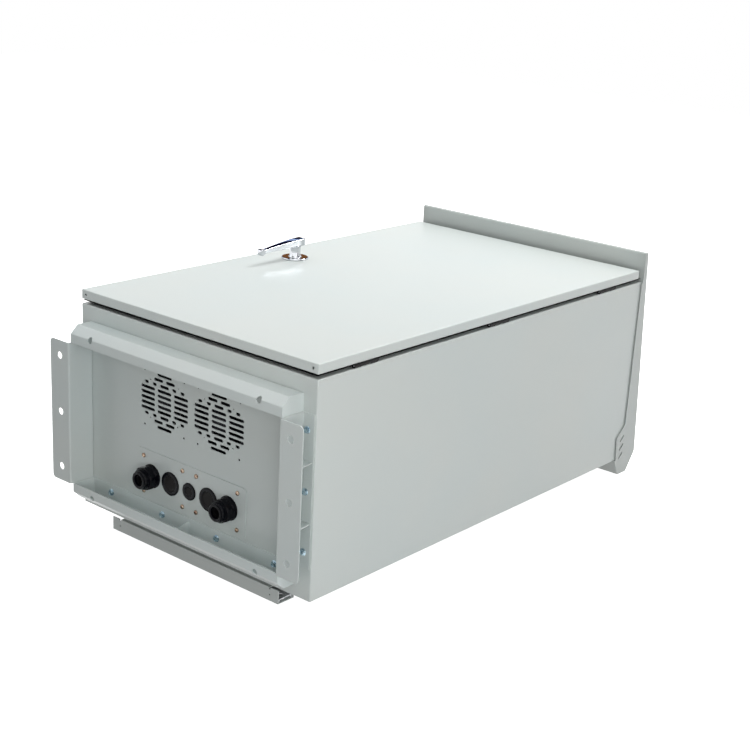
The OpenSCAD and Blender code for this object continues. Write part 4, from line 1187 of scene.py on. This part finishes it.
@dataclass
class CableEntry:
    """Cable glands and closed rubber grommets in the gland plate."""

    face_z: float = 54.0
    row_y: float = 87.0
    glands: tuple[tuple[str, float, float], ...] = (("left", -101.0, 12.0), ("right", 101.0, 4.0))
    grommets: tuple[tuple[str, float, float], ...] = (
        ("left", -50.0, 22.5), ("centre", 0.0, 16.5), ("right", 50.0, 22.5))
    across: float = 42.0

    def build(self) -> None:
        """Make both glands and the three grommets."""
        for side, x, turn in self.glands:
            self.gland(side, x, turn)
        seal = turned("seal", [(9.5, 11.6), (12.3, 11.2), (12.3, 27.0), (10.7, 28.0), (9.7, 28.0),
                               (9.5, 27.6), (9.5, 11.6)], 48)
        places = [at(x, self.row_y, self.face_z, 180) for _, x, _ in self.glands]
        stand_in(repeated(smooth(seal, 38.0), places), "gland_seals", "moulded", RUBBER)
        nut = Fasteners.hexagon_nut(self.across, 6.0, 16.1)
        places = [at(x, self.row_y, self.face_z + 1.5) for _, x, _ in self.glands]
        stand_in(repeated(nut, places), "gland_locknuts", "moulded", NYLON)
        for side, x, radius in self.grommets:
            self.grommet(side, x, radius)

    def hexagon(self, low: float, high: float) -> bpy.types.Object:
        """Make one of a gland's hexagons with its corners turned off.

        Args:
            low: Distance of its near end from the plate.
            high: Distance of its far end.

        Returns:
            The hexagon.
        """
        form = turned("form", [(21.4, low - 0.1), (22.6, low + 0.8), (23.4, low + 2.0),
                               (23.4, high - 2.6), (22.4, high - 1.0), (20.8, high + 0.1)], 72)
        return carve(prism("hexagon", self.across, low, high), form, "INTERSECT")

    def gland(self, side: str, x: float, turn: float) -> None:
        """Make one gland's body and dome nut.

        Args:
            side: Left or right.
            x: Its place along X.
            turn: How far its dome nut stands turned.
        """
        body = turned("collar", [(22.3, 0.0), (23.0, 0.4), (23.0, 1.5), (22.4, 2.1), (20.0, 2.2)], 72)
        carve(body, self.hexagon(1.0, 9.8), "UNION")
        carve(body, turned("neck", [(15.5, -11.0), (16.0, -10.4), (16.0, -0.5), (15.5, 0.5),
                                    (15.5, 18.5), (15.0, 19.0)], 48), "UNION")
        carve(body, turned("bore", [(12.5, -12.5), (12.5, 21.0)], 48))
        smooth(body, 34.0)
        stand_in(moved(body, x, self.row_y, self.face_z, 180), f"gland_body_{side}", "moulded", NYLON)
        dome = self.hexagon(10.2, 22.6)
        carve(dome, turned("crown", [
            (19.6, 20.0), (19.6, 23.6), (19.1, 26.2), (18.2, 28.8), (17.2, 30.6), (16.6, 31.1),
            (16.6, 31.9), (16.2, 33.1), (15.2, 33.8), (13.6, 34.0), (12.6, 33.9), (11.6, 33.4),
            (11.0, 32.6)], 72), "UNION")
        carve(dome, turned("bore", [(15.6, 9.0), (15.6, 28.0), (11.0, 28.2), (11.0, 35.0)], 48))
        smooth(dome, 32.0)
        stand_in(moved(dome, x, self.row_y, self.face_z, 180, 0, turn), f"gland_dome_{side}", "moulded",
                 NYLON)

    def grommet(self, side: str, x: float, radius: float) -> None:
        """Make one closed grommet with a rounded lip and a thin skin.

        Args:
            side: Its name.
            x: Its place along X.
            radius: Radius of its lip.
        """
        r = radius
        piece = turned("grommet", [
            (0.5, 1.25), (r - 10.0, 1.15), (r - 8.7, 1.2), (r - 8.0, 1.6), (r - 7.4, 2.4),
            (r - 6.6, 2.9), (r - 5.6, 3.0), (r - 2.0, 3.0), (r - 0.9, 2.7), (r - 0.25, 2.1),
            (r, 1.2), (r - 0.1, 0.3), (r - 0.5, 0.0), (r - 4.1, 0.0), (r - 4.1, -1.5), (r - 2.1, -1.5),
            (r - 2.2, -2.5), (r - 3.2, -3.9), (r - 7.0, -4.0), (r - 7.5, -3.4), (r - 7.6, -1.0),
            (r - 9.0, -0.8), (0.5, -0.9)], 80)
        smooth(piece, 40.0)
        stand_in(moved(piece, x, self.row_y, self.face_z, 180), f"grommet_{side}", "moulded",
                 GROMMET_RUBBER)


# Fans


@dataclass
class FloorFan:
    """One rotor with a deep hub cup and twisted blades."""

    side: str
    x: float
    body: Body
    y: float = -62.0
    z: float = 57.5
    hub_r: float = 19.0
    tip_r: float = 56.3
    root: float = 0.6
    blades: int = 7
    low: float = 0.5
    height: float = 19.0

    def blade(self) -> bpy.types.Object:
        """Loft one blade outwards along +X, its chord turning flatter towards the tip.

        Returns:
            The blade.
        """
        piece = rectangle("blade", (0, math.pi / 2, 0), (1.0, 23.0 * MM, 1.3 * MM))
        bpy.ops.mesh.bevel(offset=0.45 * MM, segments=2, affect="VERTICES")
        bpy.ops.mesh.select_all(action="SELECT")
        bpy.ops.transform.rotate(value=math.radians(-46), orient_axis="X", center_override=(0, 0, 0))
        bpy.ops.transform.translate(value=((self.hub_r - self.root) * MM, 0, 0))
        widths = (1.07, 1.07, 1.07, 1.0, 1.0)
        out = ((self.tip_r - self.hub_r + self.root) / len(widths) * MM, 0.0, 0.0)
        for grow in widths:
            bpy.ops.mesh.extrude_region_move(TRANSFORM_OT_translate={"value": out})
            bpy.ops.transform.rotate(value=math.radians(4.0), orient_axis="X", center_override=(0, 0, 0))
            bpy.ops.transform.resize(value=(1.0, grow, 1.0), center_override=(0, 0, 0))
        close_up(piece)
        return smooth(piece, 40.0)

    def build(self) -> None:
        """Make the rotor."""
        r, low, high = self.hub_r, self.low, self.low + self.height
        hub = turned("hub", [(1.5, low), (r - 1.6, low), (r - 0.5, low + 0.4), (r, low + 1.5),
                             (r, high - 0.2), (r - 0.2, high), (r - 1.5, high), (r - 1.5, low + 1.6),
                             (1.5, low + 1.6), (1.5, high)], 56)
        fins = repeated(self.blade(), [at(0, 0, low + self.height / 2, 0, 0, turn * 360 / self.blades)
                                       for turn in range(self.blades)])
        rotor = moved(joined([smooth(hub, 38.0), fins]), self.x, self.y, self.z)
        stand_in(rotor, f"fan_rotor_{self.side}", "moulded", FAN_NYLON, self.body)


# Door hardware


@dataclass
class DoorHardware:
    """Hinge pins, the door's sealing profile and a black sheet on the frame behind it that stands for the
    painted shade in the door's gap.
    """

    hinge: tuple[float, float] = (296.4, -204.2)
    levels: tuple[float, float, float] = (176.0, 554.0, 932.0)
    # Size of the black sheet of painted shade on the frame's front rim.
    pin_half: float = 30.4
    strip_inset: float = 1.9
    strip_width: float = 14.0
    strip_thickness: float = 0.3

    def build(self) -> None:
        """Make the pins, the seal and the black sheet of painted shade."""
        pin = turned("pin", [(1.2, 0.0), (1.6, 0.4), (1.6, 60.8), (2.5, 60.8), (2.8, 61.0),
                             (2.7, 61.6), (2.2, 62.05), (1.2, 62.28), (0.3, 62.3)], 28)
        places = [at(*self.hinge, z - self.pin_half) for z in self.levels]
        stand_in(repeated(smooth(pin, 40.0), places), "hinge_pins", "drawn", ZINC_SHEET)
        self.seal()
        self.paint_gap_shade()

    @staticmethod
    def face_of(node: str) -> tuple[float, float, Point, float]:
        """Measure a solid's outline as seen from the front.

        Args:
            node: The solid's name.

        Returns:
            Its width, its height, the middle of its front and its depth, in millimetres.
        """
        low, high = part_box(node)
        wide, deep, tall = ((b - a) / MM for a, b in zip(low, high))
        middle = ((low[0] + high[0]) / 2 / MM, low[1] / MM, (low[2] + high[2]) / 2 / MM)
        return wide, tall, middle, deep

    def paint_gap_shade(self) -> None:
        """Lay a thin black sheet, dressed as rubber, round the body's front rim: painted shade in the gap
        behind the door.
        """
        wide, tall, middle, _ = self.face_of("enclosure")
        size = ((wide - 2 * self.strip_inset) * MM, 1.0, (tall - 2 * self.strip_inset) * MM)
        piece = rectangle("strip", (math.pi / 2, 0, 0), size)
        bpy.ops.mesh.inset(thickness=self.strip_width * MM, depth=0.0)
        bpy.ops.mesh.delete(type="FACE")
        bpy.ops.mesh.select_all(action="SELECT")
        lift = (0.0, -self.strip_thickness * MM, 0.0)
        bpy.ops.mesh.extrude_region_move(TRANSFORM_OT_translate={"value": lift})
        bpy.ops.mesh.select_all(action="SELECT")
        bpy.ops.mesh.normals_make_consistent(inside=False)
        settle(moved(piece, *middle), "door_gap_painted_shade")
        apply_modifier(piece, "BEVEL", width=0.1 * MM, segments=2, limit_method="ANGLE")
        # The sheet's black rubber finish is painted shade in the door gap, not a real seal.
        mount(smooth(piece, 40.0), RUBBER, Body.CABINET)

    def seal(self) -> None:
        """Sweep the seal's rounded bead round the door's edge."""
        wide, tall, middle, deep = self.face_of("door_gasket")
        piece = rectangle("seal", (math.pi / 2, 0, 0), (wide * MM, 1.0, tall * MM))
        bpy.ops.mesh.delete(type="ONLY_FACE")
        bpy.ops.mesh.select_all(action="SELECT")
        profile = [(0.0, 0.0), (0.0, 1.8), (0.6, 2.4), (1.2, 4.4), (2.4, 6.6), (4.0, deep - 0.3),
                   (5.5, deep), (7.0, deep - 0.3), (8.6, 6.6), (9.8, 4.4), (10.4, 2.4), (11.0, 1.8),
                   (11.0, 0.0), (0.0, 0.0)]
        for (inset, height), (new_inset, new_height) in zip(profile, profile[1:]):
            lift = (0.0, (new_height - height) * MM, 0.0)
            bpy.ops.mesh.extrude_edges_move(TRANSFORM_OT_translate={"value": lift})
            shrink = ((wide - 2 * new_inset) / (wide - 2 * inset), 1.0,
                      (tall - 2 * new_inset) / (tall - 2 * inset))
            bpy.ops.transform.resize(value=shrink, center_override=(0, 0, 0))
        close_up(moved(piece, *middle))
        stand_in(smooth(piece, 40.0), "door_gasket", "moulded", RUBBER, Body.DOOR)


# Studio


@dataclass
class Studio:
    """Pale floor and backdrop, soft lamps, white surroundings and the camera."""

    floor_z: float = -0.0006
    wall_y: float = 0.2368
    reach: float = 14.0
    ambient: float = 0.15
    eye: Point = (1.80077373, -0.94090396, -1.59726595)
    turn: tuple[float, float, float, float] = (0.1404193, 0.9295724, -0.0795371, 0.3314384)
    lens: float = 69.81185669984825
    shift: tuple[float, float] = (-0.03746476343048494, 0.009852001576805379)
    sensor: float = 36.0
    glow: float = 0.93
    ahead: Point = (-0.667, -0.234, 0.707)
    panels: tuple[Point, ...] = (
        (-0.67, -0.28, 0.69), (0.68, 0.32, 0.66), (-0.68, 0.32, -0.66), (-0.68, -0.66, -0.32))
    dim: Colour = (0.10, 0.11, 0.13)
    ceiling: Colour = (0.010, 0.012, 0.035)
    window: Colour = (0.45, 0.60, 1.0)
    boards: Colour = (0.24, 0.10, 0.035)
    lamps: tuple[tuple[str, Point, Point, float, float], ...] = (
        ("key", (0.15, -3.0, 1.0), (0.0, 0.0, 0.5), 2.4, 38.0),
        ("fold_key", (0.15, -2.3, 2.3), (0.0, 0.0, 0.5), 0.9, 36.0),
        ("fold_side", (2.1, -1.4, 2.6), (0.3, -0.2, 0.55), 0.5, 16.0),
        ("low_left", (-2.0, -2.2, -0.45), (0.0, -0.1, 0.3), 1.6, 23.0),
        ("side", (2.9, -0.35, -0.5), (0.2, 0.0, 0.3), 2.0, 22.0),
        ("under", (1.5, -0.5, -1.5), (0.0, 0.0, 0.1), 1.4, 19.0),
        ("top", (0.2, -0.6, 3.6), (0.0, 0.0, 0.6), 2.2, 25.0),
        ("back", (-1.6, 2.9, 1.4), (0.0, 0.1, 0.5), 2.4, 18.0),
        ("left", (-3.2, -1.2, 0.4), (0.0, 0.0, 0.5), 2.0, 8.0),
    )

    def build(self) -> None:
        """Set up the whole studio."""
        self.world()
        material = self.floor_material()
        self.plane("studio_floor", (0.0, 0.0, self.floor_z), (0.0, 0.0, 0.0), material)
        self.plane("studio_backdrop", (0.0, self.wall_y, 0.0), (math.pi / 2, 0.0, 0.0), material)
        for name, place, target, size, power in self.lamps:
            self.lamp(name, Vector(place), Vector(target), size, power)
        self.camera()
        bpy.context.scene.view_settings.view_transform = "Standard"

    def world(self) -> None:
        """Even surroundings: white where seen, with the dark front of the room in mirrors."""
        world = bpy.data.worlds.new("Studio surroundings")
        bpy.context.scene.world = world
        world.use_nodes = True
        graph = Graph(world.node_tree)
        seen = self.seen_directly(graph)
        strength = seen * (1.0 - self.ambient) + self.ambient
        mirrored = graph.node("ShaderNodeLightPath", out="Is Singular Ray")
        way = graph.node("ShaderNodeTexCoord", out="Generated")
        depth = graph.node("ShaderNodeSeparateXYZ", inputs={0: way}, out="Y")
        ahead = self.towards(graph, way, self.ahead)
        lit = [self.towards(graph, way, panel).ramp(0.70, 0.80) for panel in self.panels]
        glossy = graph.node("ShaderNodeLightPath", out="Is Glossy Ray")
        shade = glossy * (1.0 - sum(lit[1:], lit[0]).clamped())
        around = graph.mix(shade, (1.0, 1.0, 1.0), self.dim)
        overhead = 1.0 - depth.ramp(-0.252, -0.240)
        window = depth.ramp(-0.338, -0.326) * (1.0 - depth.ramp(-0.300, -0.288))
        boards = depth.ramp(-0.252, -0.240) * (1.0 - depth.ramp(-0.12, -0.10)) * ahead.ramp(0.90, 0.93)
        dark = graph.mix(boards, graph.mix(window, self.ceiling, self.window), self.boards)
        colour = graph.mix((overhead + boards).clamped() * mirrored, around, dark)
        background = graph.node("ShaderNodeBackground", inputs={"Color": colour, "Strength": strength})
        graph.node("ShaderNodeOutputWorld", inputs={"Surface": background})

    @staticmethod
    def towards(graph: Graph, way: Sock, aim: Point) -> Sock:
        """Return the cosine between a ray and a fixed direction.

        Args:
            graph: The world's graph.
            way: The ray's direction.
            aim: The fixed direction.

        Returns:
            The cosine.
        """
        return graph.node("ShaderNodeVectorMath", {"operation": "DOT_PRODUCT"}, {0: way, 1: aim},
                          out="Value")

    @staticmethod
    def seen_directly(graph: Graph) -> Sock:
        """Return 1 for camera, mirror and glass rays, else 0."""
        rays = [graph.node("ShaderNodeLightPath", out=name)
                for name in ("Is Camera Ray", "Is Glossy Ray", "Is Transmission Ray")]
        return (rays[0] + rays[1] + rays[2]).clamped()

    def floor_material(self) -> bpy.types.Material:
        """White floor that keeps a soft shadow and is clear from behind.

        Returns:
            The material.
        """
        material = bpy.data.materials.new("Studio floor")
        material.use_nodes = True
        graph = Graph(material.node_tree)
        behind = graph.node("ShaderNodeNewGeometry", out="Backfacing")
        shown = self.seen_directly(graph) * (1.0 - behind)
        diffuse = graph.node("ShaderNodeBsdfDiffuse", inputs={"Color": (0.8, 0.8, 0.8, 1.0)})
        glow = graph.node("ShaderNodeEmission",
                          inputs={"Color": (1.0, 1.0, 1.0, 1.0), "Strength": self.glow})
        lit = graph.node("ShaderNodeAddShader", inputs={0: diffuse, 1: glow})
        clear = graph.node("ShaderNodeBsdfTransparent")
        mixed = graph.node("ShaderNodeMixShader", inputs={0: shown, 1: clear, 2: lit})
        graph.node("ShaderNodeOutputMaterial", inputs={"Surface": mixed})
        return material

    def plane(self, name: str, place: Point, turn: Point, material: bpy.types.Material) -> None:
        """Add one large staged plane.

        Args:
            name: Its name.
            place: Its centre.
            turn: Its Euler angles.
            material: Its material.
        """
        deselect()
        bpy.ops.mesh.primitive_plane_add(size=self.reach, location=place, rotation=turn)
        piece = bpy.context.active_object
        piece.name = name
        piece.data.materials.append(material)

    def lamp(self, name: str, place: Vector, target: Vector, size: float, power: float) -> None:
        """Add one square soft lamp.

        Args:
            name: Its name.
            place: Where it hangs.
            target: Where it points.
            size: Its side.
            power: Its power in watts.
        """
        data = bpy.data.lights.new(f"{name}_lamp", "AREA")
        data.shape = "SQUARE"
        data.size = size
        data.energy = power
        lamp = bpy.data.objects.new(f"{name}_lamp", data)
        bpy.context.scene.collection.objects.link(lamp)
        lamp.location = place
        lamp.rotation_mode = "QUATERNION"
        lamp.rotation_quaternion = (target - place).to_track_quat("-Z", "Y")

    def camera(self) -> None:
        """Put the camera where the photograph was taken."""
        data = bpy.data.cameras.new("camera")
        data.sensor_width = self.sensor
        data.lens = self.lens
        data.shift_x, data.shift_y = self.shift
        data.clip_start, data.clip_end = 0.05, 60.0
        camera = bpy.data.objects.new("camera", data)
        bpy.context.scene.collection.objects.link(camera)
        camera.rotation_mode = "QUATERNION"
        camera.location = self.eye
        camera.rotation_quaternion = Quaternion(self.turn)
        bpy.context.scene.camera = camera


# All of it


SHEET_PARTS = (
    Softened(BODY_PAINT, Body.CABINET, ("enclosure",), fold=1.8),
    Softened(BODY_PAINT, Body.CABINET, ("gland_plate",)),
    Softened(HOOD_PAINTED_SHADE, Body.CABINET, ("roof_hood",), edge=0.6, segments=3),
    Softened(BODY_PAINT, Body.DOOR, ("door_panel",), fold=1.8),
    Softened(BODY_PAINT, Body.DOOR, ("door_stiffener_left", "door_stiffener_right")),
    Softened(PLINTH_PAINT, Body.CABINET, ("base_bracket_left", "base_bracket_right"), edge=0.7,
             segments=3),
    Softened(BAR_PAINTED_LIGHT, Body.CABINET, ("plinth_bar_front", "plinth_bar_rear"), edge=0.7, segments=3),
    Softened(RAIL_PAINTED_SHADE, Body.CABINET, ("wall_rail_lower", "wall_rail_upper"), edge=0.7, segments=3),
    Softened(ZINC_SHEET, Body.CABINET, (
        "rail_stiffener_lower", "rail_stiffener_upper", "depth_bars_left", "depth_bars_right",
        "rack_rail_front_left", "rack_rail_front_right", "rack_rail_rear_left",
        "rack_rail_rear_right"), edge=0.25, segments=1),
    Softened(ZINC_SHEET, Body.DOOR, ("latch_housing", "rod_guide_upper", "rod_guide_lower"), edge=0.5),
    Softened(ZINC_SHEET, Body.HANDLE, ("latch_cam",), edge=0.3),
    Softened(ZINC_SHEET, Body.ROD_UPPER, ("latch_rod_upper",), edge=0.3),
    Softened(ZINC_SHEET, Body.ROD_LOWER, ("latch_rod_lower",), edge=0.3),
    Softened(HINGE_PAINT, Body.CABINET, ("hinge_body_knuckles",), edge=0.4),
    Softened(HINGE_PAINT, Body.DOOR, ("hinge_door_knuckles",), edge=0.4),
    Softened(FAN_NYLON, Body.CABINET, ("fan_frame_left", "fan_frame_right"), edge=0.4),
)


def main() -> None:
    """Dress the frame, add the new pieces and set up the studio."""
    logging.basicConfig(level=logging.INFO, format="%(name)s %(message)s")
    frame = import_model()
    slots = {part["node"]: part["material_slot"] for part in frame["record"]["subparts"]}
    for node, piece in frame["nodes"].items():
        dress(piece, FINISHES[slots[node]])
    LOG.info("dressed %d solids", len(frame["nodes"]))
    for sheets in SHEET_PARTS:
        sheets.build()
    Fasteners().build()
    SwingHandle().build()
    CableEntry().build()
    FloorFan("left", -70.5, Body.ROTOR_LEFT).build()
    FloorFan("right", 70.5, Body.ROTOR_RIGHT).build()
    DoorHardware().build()
    Studio().build()


if __name__ == "__main__":
    main()
